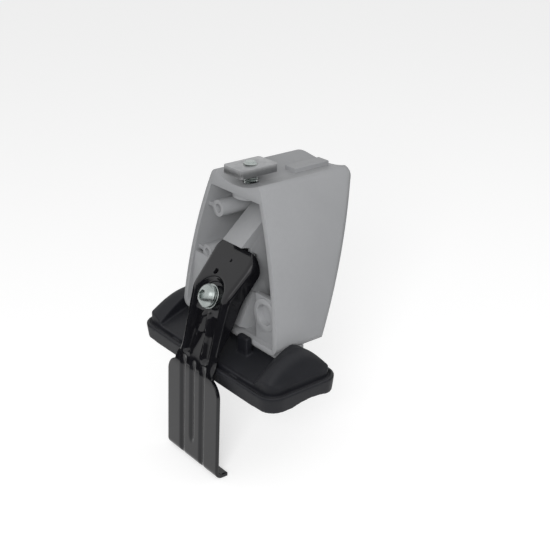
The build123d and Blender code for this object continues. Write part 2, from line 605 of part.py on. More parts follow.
def trough_floor(raised=0.0):
    """Return the trough's floor line from the plate up to the middle of the bolt's seat."""
    bend = channel_point(TROUGH_BEND_Z, TROUGH_BEND_DEPTH - raised)
    return [(PLATE_X, TROUGH_START_Z), bend, along_bolt(raised, -SEAT_LENGTH / 2), along_bolt(0)]


def dish(floor, half_width, back):
    """Return the space in front of a floor line, rounded at its top about the clamp bolt."""
    reach = 4 * SEAT_DEPTH
    out = along_bolt(reach)
    outside = [out, (PLATE_X - reach, out[1]), (PLATE_X - reach, floor[0][1])]
    round_top = extrude(bolt_plane(-back) * Circle(half_width), back + reach)
    return side_prism(floor + outside, half_width) + round_top


def make_bracket():
    """Return the clamp bracket: plate and channel with a dished trough, ridges, grooves and holes."""
    bracket = leaning(make_plate()) + make_channel()
    floor = trough_floor()
    front = channel_front(0)
    far = HEAD_X + 2 * HEAD_LENGTH
    behind = side_prism(front + [(far, HEAD_Z), (far, CHANNEL_START_Z)], PLATE_WIDTH)
    bracket += dish(offset_line(floor, SHEET), TROUGH_WIDTH / 2 + SHEET, SHEET) & behind
    bracket -= dish(floor, TROUGH_WIDTH / 2, 0)
    ridge_line = trough_floor(RIDGE_HEIGHT)[:3]
    ridge = side_prism(ridge_line + floor[2:0:-1], RIDGE_WIDTH / 2)
    for solid in mirrored(Pos(0, RIDGE_SPACING / 2, 0) * ridge):
        bracket += solid
    bracket = press_grooves(bracket)

    radius = BOLT_RADIUS + BOLT_CLEARANCE
    slot = Rot(0, 0, 90) * SlotOverall(2 * radius + BOLT_SLOT, 2 * radius)
    bracket -= extrude(bolt_plane(SHEET) * slot, -4 * SHEET)
    lean = radians(HEAD_LEAN)
    head_plane = Plane(
        origin=(KNEE_X, 0, KNEE_Z), x_dir=(0, 1, 0), z_dir=(-cos(lean), 0, sin(lean)))
    for y, along, hole in (VENT_HOLE, PILOT_HOLE):
        bracket -= extrude(head_plane * Pos(y, -along) * Circle(hole), 2 * SHEET, both=True)
    return bracket


def make_clamp_bolt():
    """Return the button-head clamp bolt with its hexagon socket."""
    rise = BOLT_HEAD_HEIGHT
    radius = (BOLT_HEAD_RADIUS ** 2 + rise ** 2) / (2 * rise)
    dome = Pos(0, 0, rise - radius) * Sphere(radius)
    rim = Cylinder(BOLT_HEAD_RADIUS, rise, align=(Align.CENTER, Align.CENTER, Align.MIN))
    head = dome & rim
    shank = Cylinder(BOLT_RADIUS, BOLT_LENGTH, align=(Align.CENTER, Align.CENTER, Align.MAX))
    shank = chamfer(shank.edges().sort_by(Axis.Z)[0], BOLT_TIP_CHAMFER)
    socket = Pos(0, 0, rise - BOLT_SOCKET_DEPTH) * extrude(
        RegularPolygon(BOLT_SOCKET / 2, 6, major_radius=False), rise)
    return bolt_plane(WASHER_THICKNESS).location * (head + shank - socket)


def make_clamp_washer():
    """Return the collared washer under the clamp bolt's head, on which the bracket can rock."""
    hole = Circle(BOLT_RADIUS + BOLT_CLEARANCE)
    neck = extrude(bolt_plane(0) * (Circle(WASHER_NECK_RADIUS) - hole), WASHER_NECK)
    rim = extrude(bolt_plane(WASHER_NECK) * (Circle(WASHER_RADIUS) - hole), WASHER_RIM)
    collar_start = bolt_plane(WASHER_NECK + WASHER_RIM)
    return neck + rim + extrude(collar_start * (Circle(WASHER_COLLAR_RADIUS) - hole), WASHER_COLLAR)


def make_clamp_nut():
    """Return the square nut in the tower's pocket."""
    outline = Rectangle(NUT_WIDTH, NUT_WIDTH) - Circle(BOLT_RADIUS + THREAD_CLEARANCE)
    return extrude(bolt_plane(-NUT_DISTANCE) * outline, -NUT_THICKNESS)


def make_bearing_plate():
    """Return the steel plate set into the tower's ribs behind the bracket's head."""
    return Pos(BEARING_X, 0, BEARING_TOP_Z) * Box(
        BEARING_THICKNESS, BEARING_WIDTH, BEARING_HEIGHT, align=(Align.MIN, Align.CENTER, Align.MAX))


def make_bar_bolt():
    """Return the low-head socket bolt that holds the bar down on the saddle."""
    top = SLIDER_Z + SLIDER_THICKNESS + BAR_BOLT_PROUD
    head = extrude(Circle(BAR_BOLT_HEAD_RADIUS), -BAR_BOLT_HEAD_HEIGHT)
    socket = Pos(0, 0, -BAR_BOLT_HEAD_HEIGHT) * extrude(
        RegularPolygon(BOLT_SOCKET / 2, 6, major_radius=False), BAR_BOLT_HEAD_HEIGHT / 2)
    shank = Cylinder(BAR_BOLT_RADIUS, top - BAR_HEAD_TOP_Z, align=(Align.CENTER, Align.CENTER, Align.MIN))
    shank = chamfer(shank.edges().sort_by(Axis.Z)[-1], BOLT_TIP_CHAMFER)
    return Pos(BAR_BOLT_X, 0, BAR_HEAD_TOP_Z) * (head + shank - socket)


def make_bar_washer():
    """Return the washer between the bar bolt's head and the tower."""
    ring = Circle(BAR_WASHER_RADIUS) - Circle(BAR_BOLT_RADIUS + BOLT_CLEARANCE)
    return extrude(Pos(BAR_BOLT_X, 0, BAR_HEAD_TOP_Z) * ring, BAR_WASHER_THICKNESS)


def make_bar_slider():
    """Return the threaded slider that runs in the bar's slot."""
    outline = RectangleRounded(SLIDER_LENGTH, SLIDER_WIDTH, SLIDER_CORNER)
    outline -= Circle(BAR_BOLT_RADIUS + THREAD_CLEARANCE)
    return extrude(Pos(BAR_BOLT_X, 0, SLIDER_Z) * outline, SLIDER_THICKNESS)


MAKERS = {
    "tower_body": make_tower,
    "rubber_pad": make_pad,
    "clamp_bracket": make_bracket,
    "clamp_bolt": make_clamp_bolt,
    "clamp_washer": make_clamp_washer,
    "clamp_nut": make_clamp_nut,
    "bearing_plate": make_bearing_plate,
    "bar_bolt": make_bar_bolt,
    "bar_washer": make_bar_washer,
    "bar_slider": make_bar_slider,
}

os.makedirs("parts", exist_ok=True)
for name, maker in MAKERS.items():
    part = maker()
    solids = part.solids()
    export_step(solids[0] if len(solids) == 1 else part, f"parts/{name}.step")
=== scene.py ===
"""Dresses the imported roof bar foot: moulded tower, rubber pad, pressed clamp bracket and M8 fasteners."""

import logging
import math
from dataclasses import dataclass, replace
from enum import Enum
from typing import Optional, Sequence, Union

import bmesh
import bpy
from bpy.types import ID, Material, Mesh, Node, NodeSocket, NodeTree, Object
from mathutils import Matrix, Vector


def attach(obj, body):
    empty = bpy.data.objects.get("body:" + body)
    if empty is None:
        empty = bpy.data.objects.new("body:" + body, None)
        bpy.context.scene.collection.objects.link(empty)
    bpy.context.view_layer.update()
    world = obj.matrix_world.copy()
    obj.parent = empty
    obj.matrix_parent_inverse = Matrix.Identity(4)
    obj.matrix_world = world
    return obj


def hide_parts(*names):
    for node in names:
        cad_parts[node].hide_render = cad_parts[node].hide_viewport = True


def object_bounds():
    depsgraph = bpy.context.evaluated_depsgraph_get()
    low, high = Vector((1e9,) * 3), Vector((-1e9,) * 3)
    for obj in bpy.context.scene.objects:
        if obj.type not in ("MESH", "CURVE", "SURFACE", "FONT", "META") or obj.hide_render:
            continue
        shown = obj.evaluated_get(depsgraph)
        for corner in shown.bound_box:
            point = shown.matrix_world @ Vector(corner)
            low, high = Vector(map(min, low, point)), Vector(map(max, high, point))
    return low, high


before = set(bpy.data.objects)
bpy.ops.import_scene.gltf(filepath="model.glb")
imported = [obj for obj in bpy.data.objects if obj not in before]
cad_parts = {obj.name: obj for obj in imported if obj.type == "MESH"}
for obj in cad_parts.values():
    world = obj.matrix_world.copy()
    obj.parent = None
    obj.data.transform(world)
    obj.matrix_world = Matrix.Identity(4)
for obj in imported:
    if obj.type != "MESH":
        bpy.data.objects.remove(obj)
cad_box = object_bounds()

MM = 0.001
PHOTO_PIXELS = 550
log = logging.getLogger("roof_bar_foot")

# Distances in metres within which points are merged: in new meshes, thread coils and copied CAD nodes
MERGE_GAP, COIL_GAP, NODE_GAP = 1e-7, 1e-8, 2e-6
# Angles in degrees: what counts as flat in a CAD node, and what stays sharp on a softened piece
FLAT_ANGLE, SOFT_ANGLE = 0.15, 38.0
# Bend in radians from which an edge wears fully
WORN_BEND = 0.7
# Steps across a softened edge, and the cross product below which two directions count as parallel
BEVEL_STEPS, PARALLEL = 2, 1e-9
# Least steps of a rounded corner, and how much finer it is stepped than a straight run
ARC_STEPS, ARC_FINENESS = 3, 1.5
# Directions around a turned piece and distance between its rings, and directions around a hole
LATHE_SPOKES, LATHE_STEP, HOLE_SPOKES = 72, 0.9, 48
# Reach of a hole's cutter in front of the sheet in millimetres, and behind its front in sheets
HOLE_ABOVE, HOLE_BELOW = 4.0, 3.0

Point = tuple[float, float]
Triple = tuple[float, float, float]
Feed = Union[float, bool, Sequence[float], NodeSocket, Material]

# Middle of the clamp bolt's seat in X and Z, and how far the bolt points up, in degrees
SEAT: Point = (-14.719, 45.765)
SEAT_TILT = 28.0


class Body(Enum):
    """Bodies that the pieces ride on."""

    TOWER = "tower"
    BRACKET = "bracket"
    WASHER = "washer"
    BOLT = "bolt"
    SLIDER = "slider"
    BAR_BOLT = "bar_bolt"


class Slot(Enum):
    """Material slots of the pieces' finishes."""

    TOWER = "tower_plastic"
    PAD = "pad_rubber"
    BRACKET = "bracket_black"
    ZINC = "zinc"
    STEEL = "steel_dark"


def clamp(value: float) -> float:
    """Return a value held between 0 and 1."""
    return min(1.0, max(0.0, value))


def smooth(low: float, high: float, value: float) -> float:
    """Return a value's place between two others, from 0 to 1 with level ends."""
    share = clamp((value - low) / (high - low))
    return share * share * (3.0 - 2.0 * share)


def mix(first: float, second: float, share: float) -> float:
    """Return the value at a share of the way from the first to the second."""
    return first + (second - first) * share


def soft_max(first: float, second: float, blend: float) -> float:
    """Return the larger of two values, with a rounded change between them."""
    return 0.5 * (first + second + math.hypot(first - second, blend) - blend)


def rounded_off(radius: float, rise: float) -> float:
    """Return how far a rounded corner draws a side in, at a rise above the corner's start."""
    return radius - math.sqrt(max(0.0, radius ** 2 - max(0.0, rise) ** 2))


def spokes(count: int, shift: float = 0.0) -> list[Point]:
    """Return the cosine and sine of even directions around a circle, shifted by a share of a step."""
    turns = [math.tau * (number + shift) / count for number in range(count)]
    return [(math.cos(turn), math.sin(turn)) for turn in turns]


def in_space(point: Sequence[float], y: float = 0.0) -> Vector:
    """Return a point or direction in XZ as one in space."""
    return Vector((point[0], y, point[1]))


class NodeBoard:
    """Places and links shader or geometry nodes in one tree."""

    # Numbers of the Mix node's colour sockets, whose names it uses more than once
    MIX_FIRST, MIX_SECOND, MIX_RESULT = 6, 7, 2

    def __init__(self, tree: NodeTree) -> None:
        """Empty a tree and get ready to fill it.

        Args:
            tree: Node tree to fill.
        """
        self.tree = tree
        tree.nodes.clear()

    def add(self, kind: str, settings: Optional[dict[str, object]] = None, **inputs: Feed) -> Node:
        """Add a node with its settings and inputs.

        Args:
            kind: Blender's type name of the node.
            settings: Properties to set on the node.
            inputs: Socket values or sockets to link from, by socket name with _ for blanks.

        Returns:
            The new node.
        """
        node = self.tree.nodes.new(kind)
        for key, value in (settings or {}).items():
            setattr(node, key, value)
        for key, value in inputs.items():
            self.feed(node.inputs[key.replace("_", " ")], value)
        return node

    def feed(self, socket: NodeSocket, value: Feed) -> None:
        """Set a socket's value, or link it.

        Args:
            socket: Socket to feed.
            value: Its value, or the socket to link it from.
        """
        if isinstance(value, NodeSocket):
            self.tree.links.new(value, socket)
        else:
            socket.default_value = value

    def math(self, operation: str, first: Feed, second: Feed, third: Feed = 0.0) -> NodeSocket:
        """Add a Math node.

        Args:
            operation: Blender's name of the operation.
            first: First value or socket.
            second: Second value or socket.
            third: Third value or socket.

        Returns:
            The node's output socket.
        """
        node = self.add("ShaderNodeMath", {"operation": operation})
        for socket, value in zip(node.inputs, (first, second, third)):
            self.feed(socket, value)
        return node.outputs[0]

    def blend(self, share: Feed, first: Feed, second: Feed) -> NodeSocket:
        """Add a colour mix.

        Args:
            share: Share of the second colour, a value or socket.
            first: First colour or socket.
            second: Second colour or socket.

        Returns:
            The mixed colour's socket.
        """
        node = self.add("ShaderNodeMix", {"data_type": "RGBA"}, Factor=share)
        self.feed(node.inputs[self.MIX_FIRST], first)
        self.feed(node.inputs[self.MIX_SECOND], second)
        return node.outputs[self.MIX_RESULT]

    def spread(self, value: Feed, low: float, high: float, to_low: float = 0.0,
               to_high: float = 1.0) -> NodeSocket:
        """Add a clamped map from one range to another.

        Args:
            value: Socket to map.
            low: Low end of the range that is read.
            high: High end of the range that is read.
            to_low: Result at the low end.
            to_high: Result at the high end.

        Returns:
            The mapped value's socket.
        """
        return self.add("ShaderNodeMapRange", {"clamp": True}, Value=value, From_Min=low, From_Max=high,
                        To_Min=to_low, To_Max=to_high).outputs[0]


def new_material(name: str) -> tuple[Material, NodeBoard]:
    """Make a material with no nodes yet.

    Args:
        name: Name of the material.

    Returns:
        The material and the board of its nodes.
    """
    material = bpy.data.materials.new(name)
    material.use_nodes = True
    return material, NodeBoard(material.node_tree)


class ShaderGroups:
    """Builds the effects that several finishes share, once each."""

    def __init__(self) -> None:
        """Build every group."""
        self.grain = self._grain()
        self.scuffs = self._scuffs()
        self.dust = self._dust()
        self.edges = self._edges()

    @staticmethod
    def _open(name: str, inputs: dict[str, float],
              outputs: Sequence[str]) -> tuple[NodeBoard, Node, Node]:
        """Make an empty group.

        Args:
            name: Name of the group.
            inputs: Names and default values of its number inputs.
            outputs: Names of its number outputs.

        Returns:
            The board to fill, the node of the group's inputs and the node of the surface's coordinates.
        """
        tree = bpy.data.node_groups.new(name, "ShaderNodeTree")
        for label, value in inputs.items():
            socket = tree.interface.new_socket(label, in_out="INPUT", socket_type="NodeSocketFloat")
            socket.default_value = value
        for label in outputs:
            tree.interface.new_socket(label, in_out="OUTPUT", socket_type="NodeSocketFloat")
        board = NodeBoard(tree)
        return board, board.add("NodeGroupInput"), board.add("ShaderNodeTexCoord")

    @staticmethod
    def _noise(board: NodeBoard, place: NodeSocket, scale: Feed, detail: float,
               roughness: float = 0.5) -> NodeSocket:
        """Add a noise and return its value's socket."""
        return board.add("ShaderNodeTexNoise", Vector=place, Scale=scale, Detail=detail,
                         Roughness=roughness).outputs[0]

    @staticmethod
    def _close(board: NodeBoard, *factors: NodeSocket) -> NodeTree:
        """Multiply the factors of a mask and put it out.

        Args:
            board: Board of the group.
            factors: Sockets to multiply.

        Returns:
            The finished group.
        """
        mask = factors[0]
        for factor in factors[1:]:
            mask = board.math("MULTIPLY", mask, factor)
        board.add("NodeGroupOutput", Mask=mask)
        return board.tree

    def _grain(self) -> NodeTree:
        """Build a moulded grain: fine pits over a slow swell, with a tone that follows them.

        Returns:
            The finished group.
        """
        board, given, coords = self._open(
            "moulded_grain", {"Pits per metre": 2500.0, "Swell per metre": 60.0}, ("Height", "Tone"))
        pits = self._noise(board, coords.outputs["Object"], given.outputs[0], 3.0, 0.6)
        swell = self._noise(board, coords.outputs["Object"], given.outputs[1], 4.0)
        height = board.math("MULTIPLY_ADD", swell, 0.35, pits)
        board.add("NodeGroupOutput", Height=height, Tone=swell)
        return board.tree

    def _scuffs(self) -> NodeTree:
        """Build fine rub marks, stretched along one direction.

        Returns:
            The finished group.
        """
        board, given, coords = self._open("rub_marks", {"Marks per metre": 900.0, "Amount": 0.5}, ("Mask",))
        turned = board.add("ShaderNodeMapping", Vector=coords.outputs["Object"], Rotation=(0.5, 0.3, 0.8),
                           Scale=(0.08, 1.0, 0.35))
        lines = self._noise(board, turned.outputs[0], given.outputs[0], 2.0)
        patches = self._noise(board, coords.outputs["Object"], 45.0, 3.0)
        return self._close(board, board.spread(lines, 0.56, 0.7), board.spread(patches, 0.45, 0.7),
                           given.outputs[1])

    def _dust(self) -> NodeTree:
        """Build a thin dust that lies in specks on upward faces.

        Returns:
            The finished group.
        """
        board, given, coords = self._open("settled_dust", {"Specks per metre": 700.0, "Amount": 0.3}, ("Mask",))
        facing = board.add("ShaderNodeSeparateXYZ", Vector=coords.outputs["Normal"])
        specks = self._noise(board, coords.outputs["Object"], given.outputs[0], 4.0, 0.7)
        return self._close(board, board.spread(facing.outputs["Z"], 0.1, 0.95),
                           board.spread(specks, 0.45, 0.75, 0.15), given.outputs[1])

    def _edges(self) -> NodeTree:
        """Build worn edges from the pieces' own edge attribute, broken up by noise.

        Returns:
            The finished group.
        """
        board, given, coords = self._open("edge_wear", {"Breaks per metre": 350.0, "Amount": 0.5}, ("Mask",))
        edge = board.add("ShaderNodeAttribute", {"attribute_name": "edge"})
        breaks = self._noise(board, coords.outputs["Object"], given.outputs[0], 3.0)
        return self._close(board, edge.outputs["Fac"], board.spread(breaks, 0.35, 0.65, 0.2), given.outputs[1])


@dataclass(frozen=True)
class Finish:
    """One surface finish, built from the shared effects."""

    name: str
    slot: Slot
    color: Triple
    tone: Triple
    wear_color: Triple
    dust_color: Triple
    roughness: Point
    pits: float
    swell: float
    relief: float
    relief_mm: float
    wear: float
    scuff: float
    dust: float
    metallic: float = 0.0
    specular: float = 0.5
    scuff_roughness: float = 0.25
    dust_roughness: float = 0.3

    def build(self, groups: ShaderGroups) -> Material:
        """Build the material.

        Args:
            groups: Shared effects to place in it.

        Returns:
            The finished material.
        """
        material, board = new_material(self.name)
        shader = board.add("ShaderNodeBsdfPrincipled", Metallic=self.metallic,
                           Specular_IOR_Level=self.specular)
        board.add("ShaderNodeOutputMaterial", Surface=shader.outputs[0])
        grain = board.add("ShaderNodeGroup", {"node_tree": groups.grain}, Pits_per_metre=self.pits,
                          Swell_per_metre=self.swell)
        wear, scuff, dust = (
            board.add("ShaderNodeGroup", {"node_tree": group}, Amount=amount).outputs[0]
            for group, amount in ((groups.edges, self.wear), (groups.scuffs, self.scuff), (groups.dust, self.dust)))
        share = board.spread(grain.outputs["Tone"], 0.3, 0.7)
        color = board.blend(share, (*self.color, 1.0), (*self.tone, 1.0))
        color = board.blend(wear, color, (*self.wear_color, 1.0))
        color = board.blend(dust, color, (*self.dust_color, 1.0))
        rough = board.spread(grain.outputs["Height"], 0.35, 1.0, *self.roughness)
        for mask, amount in ((scuff, self.scuff_roughness), (dust, self.dust_roughness)):
            rough = board.math("ADD", rough, board.math("MULTIPLY", mask, amount))
        bump = board.add("ShaderNodeBump", Strength=self.relief, Distance=self.relief_mm * MM,
                         Height=grain.outputs["Height"])
        board.feed(shader.inputs["Base Color"], color)
        board.feed(shader.inputs["Roughness"], rough)
        board.feed(shader.inputs["Normal"], bump.outputs[0])
        return material


MOULDED_GREY = Finish(
    "moulded_grey", Slot.TOWER, (0.252, 0.256, 0.264), (0.266, 0.27, 0.278), (0.32, 0.325, 0.33),
    (0.40, 0.40, 0.39), (0.46, 0.6), pits=2200.0, swell=40.0, relief=0.12, relief_mm=0.03, wear=0.25, scuff=0.3,
    dust=0.05)
PAD_RUBBER = Finish(
    "pad_rubber", Slot.PAD, (0.0065, 0.007, 0.0092), (0.0095, 0.01, 0.0128), (0.022, 0.022, 0.027),
    (0.07, 0.07, 0.07), (0.46, 0.62), pits=1800.0, swell=55.0, relief=0.2, relief_mm=0.04, wear=0.3, scuff=0.25,
    dust=0.06, specular=0.3)
GLOSS_BLACK = Finish(
    "gloss_black_coat", Slot.BRACKET, (0.004, 0.004, 0.005), (0.006, 0.006, 0.0075), (0.04, 0.04, 0.045),
    (0.06, 0.06, 0.06), (0.10, 0.17), pits=420.0, swell=90.0, relief=0.06, relief_mm=0.02, wear=0.12, scuff=0.12,
    dust=0.01, specular=0.40)
BRIGHT_ZINC = Finish(
    "bright_zinc", Slot.ZINC, (0.38, 0.41, 0.40), (0.31, 0.345, 0.335), (0.55, 0.57, 0.56), (0.35, 0.35, 0.35),
    (0.2, 0.34), pits=1500.0, swell=260.0, relief=0.08, relief_mm=0.02, wear=0.3, scuff=0.3, dust=0.0,
    metallic=1.0)
PLAIN_STEEL = Finish(
    "plain_steel", Slot.STEEL, (0.33, 0.335, 0.34), (0.27, 0.275, 0.285), (0.5, 0.5, 0.5), (0.3, 0.3, 0.3),
    (0.3, 0.45), pits=1200.0, swell=150.0, relief=0.12, relief_mm=0.03, wear=0.4, scuff=0.4, dust=0.0,
    metallic=1.0)


class Workshop:
    """Makes the finishes, dresses pieces and ties them to their bodies."""

    def __init__(self) -> None:
        """Build the finishes."""
        groups = ShaderGroups()
        self.materials = {
            finish: finish.build(groups)
            for finish in (MOULDED_GREY, PAD_RUBBER, GLOSS_BLACK, BRIGHT_ZINC, PLAIN_STEEL)
        }

    def hand_over(self, obj: Object, finish: Finish, body: Body, node: str) -> None:
        """Dress a finished piece, tie it to its body and hide the CAD node that it stands for.

        Args:
            obj: Piece at the origin, with its place in its mesh.
            finish: Finish to give it.
            body: Body that it moves with.
            node: CAD node that it replaces.
        """
        obj.data.materials.clear()
        obj.data.materials.append(self.materials[finish])
        mark_edges(obj.data)
        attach(obj, body.value)
        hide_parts(node)
        log.info("%s: %d faces on %s", obj.name, len(obj.data.polygons), body.value)


def new_object(name: str, data: ID) -> Object:
    """Link a new object to the scene.

    Args:
        name: Name of the object.
        data: Mesh, camera or light that it shows.

    Returns:
        The object.
    """
    obj = bpy.data.objects.new(name, data)
    bpy.context.scene.collection.objects.link(obj)
    return obj


def weld(mesh: Mesh, gap: float) -> None:
    """Merge a mesh's doubles and turn its faces outward.

    Args:
        mesh: Mesh to change.
        gap: Distance within which points are doubles, in metres.
    """
    shape = bmesh.new()
    shape.from_mesh(mesh)
    bmesh.ops.remove_doubles(shape, verts=shape.verts, dist=gap)
    bmesh.ops.recalc_face_normals(shape, faces=shape.faces)
    shape.to_mesh(mesh)
    shape.free()


def mesh_from(name: str, points: Sequence[Vector], faces: Sequence[Sequence[int]]) -> Object:
    """Make an object from points in millimetres.

    Args:
        name: Name of the piece.
        points: Points in millimetres.
        faces: Point numbers of each face.

    Returns:
        The object, in metres, with doubles merged and faces turned outward.
    """
    mesh = bpy.data.meshes.new(name)
    mesh.from_pydata([Vector(point) * MM for point in points], [], faces)
    weld(mesh, MERGE_GAP)
    return new_object(name, mesh)


def settle(obj: Object) -> None:
    """Replace a piece's mesh by what its modifiers make of it, and remove them.

    Args:
        obj: Piece to change.
    """
    bpy.context.view_layer.update()
    graph = bpy.context.evaluated_depsgraph_get()
    mesh = bpy.data.meshes.new_from_object(obj.evaluated_get(graph), depsgraph=graph)
    obj.modifiers.clear()
    obj.data = mesh


def soften(obj: Object, width: float, angle: float) -> None:
    """Round a piece's sharp edges and shade it smooth.

    Args:
        obj: Piece to change.
        width: Width of the rounding in millimetres.
        angle: Least angle of an edge that is rounded, in degrees.
    """
    bevel = obj.modifiers.new("soft_edges", "BEVEL")
    bevel.width = width * MM
    bevel.segments = BEVEL_STEPS
    bevel.limit_method = "ANGLE"
    bevel.angle_limit = math.radians(angle)
    bevel.miter_outer = "MITER_ARC"
    bevel.harden_normals = False
    settle(obj)
    shade(obj, SOFT_ANGLE)


def shade(obj: Object, angle: float) -> None:
    """Shade a piece smooth, apart from edges sharper than an angle in degrees."""
    obj.data.shade_smooth()
    obj.data.set_sharp_from_angle(angle=math.radians(angle))


def mark_edges(mesh: Mesh) -> None:
    """Write how strongly each point of a mesh stands out as an edge, for the worn-edge effect.

    Args:
        mesh: Mesh to mark.
    """
    shape = bmesh.new()
    shape.from_mesh(mesh)
    values = []
    for vert in shape.verts:
        bends = [edge.calc_face_angle_signed(0.0) for edge in vert.link_edges if len(edge.link_faces) == 2]
        values.append(clamp(max(bends, default=0.0) / WORN_BEND))
    shape.free()
    mesh.attributes.new("edge", "FLOAT", "POINT").data.foreach_set("value", values)


def hole_cutter(place: Vector, outward: Vector, stretch: Vector, radius: float, sheet: float,
                lip: float) -> Object:
    """Make the shape that cuts a round hole or a slot with softened rims through a sheet.

    Args:
        place: Middle of the hole on the sheet's front, in millimetres.
        outward: Direction of the hole, out of the sheet's front.
        stretch: Half of the slot's straight length as a direction, or zero for a round hole.
        radius: Radius of the hole.
        sheet: Thickness of the sheet.
        lip: Size of the rims' softening.

    Returns:
        The closed cutter.
    """
    side = Vector((0.0, 1.0, 0.0))
    up = outward.cross(side)
    rings = []
    for level, grow in ((HOLE_ABOVE, lip), (0.0, lip), (-lip, 0.0), (lip - sheet, 0.0), (-sheet, lip),
                        (-HOLE_BELOW * sheet, lip)):
        ring = []
        for across, rise in spokes(HOLE_SPOKES, 0.5):
            spoke = side * across + up * rise
            shift = stretch * (1.0 if spoke.dot(stretch) > 0.0 else -1.0)
            ring.append(place + outward * level + spoke * (radius + grow) + shift)
        rings.append(ring)
    return tube_from("cutter", rings)


def skin_faces(rows: int, count: int, closed: bool = False) -> list[tuple[int, ...]]:
    """Join rows of points to their neighbours.

    Args:
        rows: Number of rows.
        count: Number of points in each.
        closed: Whether the last row meets the first.

    Returns:
        Point numbers of each face.
    """
    faces = []
    for row in range(rows if closed else rows - 1):
        first = row * count
        second = (row + 1) % rows * count
        for column in range(count):
            after = (column + 1) % count
            faces.append((first + column, first + after, second + after, second + column))
    return faces


def tube_from(name: str, rings: Sequence[Sequence[Vector]], closed: bool = False) -> Object:
    """Join rings of points into one skin.

    Args:
        name: Name of the piece.
        rings: Rings with the same number of points, in millimetres.
        closed: Whether the last ring meets the first; otherwise both ends are capped.

    Returns:
        The closed piece.
    """
    count = len(rings[0])
    points = [point for ring in rings for point in ring]
    caps = [] if closed else [tuple(range(count)), tuple(range(len(points) - count, len(points)))]
    return mesh_from(name, points, caps + skin_faces(len(rings), count, closed))


def combine(obj: Object, tools: Sequence[Object], operation: str) -> None:
    """Cut closed shapes out of a piece or join them to it, and remove them.

    Args:
        obj: Closed piece to change.
        tools: Closed shapes.
        operation: DIFFERENCE to cut or UNION to join.
    """
    for tool in tools:
        step = obj.modifiers.new("combine", "BOOLEAN")
        step.operation = operation
        step.solver = "MANIFOLD"
        step.object = tool
    settle(obj)
    for tool in tools:
        bpy.data.objects.remove(tool)


def node_copy(node: str, name: str) -> Object:
    """Return a merged copy of a CAD node with its flat faces joined.

    Args:
        node: CAD node to copy.
        name: Name of the new piece.

    Returns:
        The copy, at the origin.
    """
    shape = bmesh.new()
    shape.from_mesh(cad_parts[node].data)
    bmesh.ops.remove_doubles(shape, verts=shape.verts, dist=NODE_GAP)
    bmesh.ops.dissolve_degenerate(shape, edges=shape.edges, dist=NODE_GAP)
    bmesh.ops.dissolve_limit(shape, angle_limit=math.radians(FLAT_ANGLE), verts=shape.verts, edges=shape.edges)
    mesh = bpy.data.meshes.new(name)
    shape.to_mesh(mesh)
    shape.free()
    return new_object(name, mesh)


@dataclass
class Tower:
    """Grey moulded tower, open on its outer side."""

    edge_round: float = 0.45
    edge_angle: float = 32.0

    def build(self, shop: Workshop) -> None:
        """Build the moulding with rounded edges.

        Args:
            shop: Workshop that finishes it.
        """
        moulding = node_copy("tower_body", "tower_moulding")
        soften(moulding, self.edge_round, self.edge_angle)
        shop.hand_over(moulding, MOULDED_GREY, Body.TOWER, "tower_body")


@dataclass
class Pad:
    """Black rubber pad with two end humps."""

    voxel: float = 0.55
    smoothing: int = 6
    softness: float = 0.5
    shade_angle: float = 60.0

    def build(self, shop: Workshop) -> None:
        """Build the pad as one soft moulding.

        Args:
            shop: Workshop that finishes it.
        """
        pad = node_copy("rubber_pad", "pad_moulding")
        remesh = pad.modifiers.new("even_skin", "REMESH")
        remesh.mode = "VOXEL"
        remesh.voxel_size = self.voxel * MM
        relax = pad.modifiers.new("soft_skin", "SMOOTH")
        relax.factor = self.softness
        relax.iterations = self.smoothing
        settle(pad)
        shade(pad, self.shade_angle)
        shop.hand_over(pad, PAD_RUBBER, Body.TOWER, "rubber_pad")


def rounded_line(corners: Sequence[Triple], step: float) -> list[Vector]:
    """Walk along a line in XZ with rounded corners.

    Args:
        corners: X, Z and rounding radius of each corner in millimetres.
        step: Distance between points in millimetres.

    Returns:
        Points along the line, from the first corner to the last.
    """
    places = [Vector(corner[:2]) for corner in corners]
    line = [places[0]]

    def walk(goal: Vector) -> None:
        """Add points on the way to a goal.

        Args:
            goal: Last point to add.
        """
        start = line[-1]
        count = max(1, round((goal - start).length / step))
        line.extend(start.lerp(goal, number / count) for number in range(1, count + 1))

    for before, corner, after, (_, _, radius) in zip(places, places[1:], places[2:], corners[1:]):
        back = (before - corner).normalized()
        onward = (after - corner).normalized()
        half = math.acos(max(-1.0, min(1.0, back.dot(onward)))) / 2.0
        middle = corner + (back + onward).normalized() * (radius / math.sin(half))
        first = corner + back * (radius / math.tan(half)) - middle
        last = corner + onward * (radius / math.tan(half)) - middle
        walk(middle + first)
        sweep = math.pi - 2.0 * half
        count = max(ARC_STEPS, round(ARC_FINENESS * sweep * radius / step))
        for number in range(1, count + 1):
            turned = sweep * number / count
            line.append(middle + (first * math.sin(sweep - turned) + last * math.sin(turned)) / math.sin(sweep))
    walk(places[-1])
    return line


def ray_depth(start: Vector, heading: Vector, line: Sequence[Vector]) -> float:
    """Follow a ray in XZ until it meets a line.

    Args:
        start: Where the ray starts.
        heading: Its direction.
        line: Points of the line.

    Returns:
        How far the ray goes, or 0 where it misses the line.
    """
    for first, last in zip(line, line[1:]):
        way = last - first
        cross = heading.x * way.y - heading.y * way.x
        if abs(cross) < PARALLEL:
            continue
        gap = first - start
        share = (gap.x * heading.y - gap.y * heading.x) / cross
        if 0.0 <= share <= 1.0:
            return (gap.x * way.y - gap.y * way.x) / cross
    return 0.0


def hump(off: float, half: float) -> float:
    """Return the height of a round hump, 1 in its middle and 0 from its half width on."""
    return math.cos(0.5 * math.pi * off / half) ** 2 if off < half else 0.0


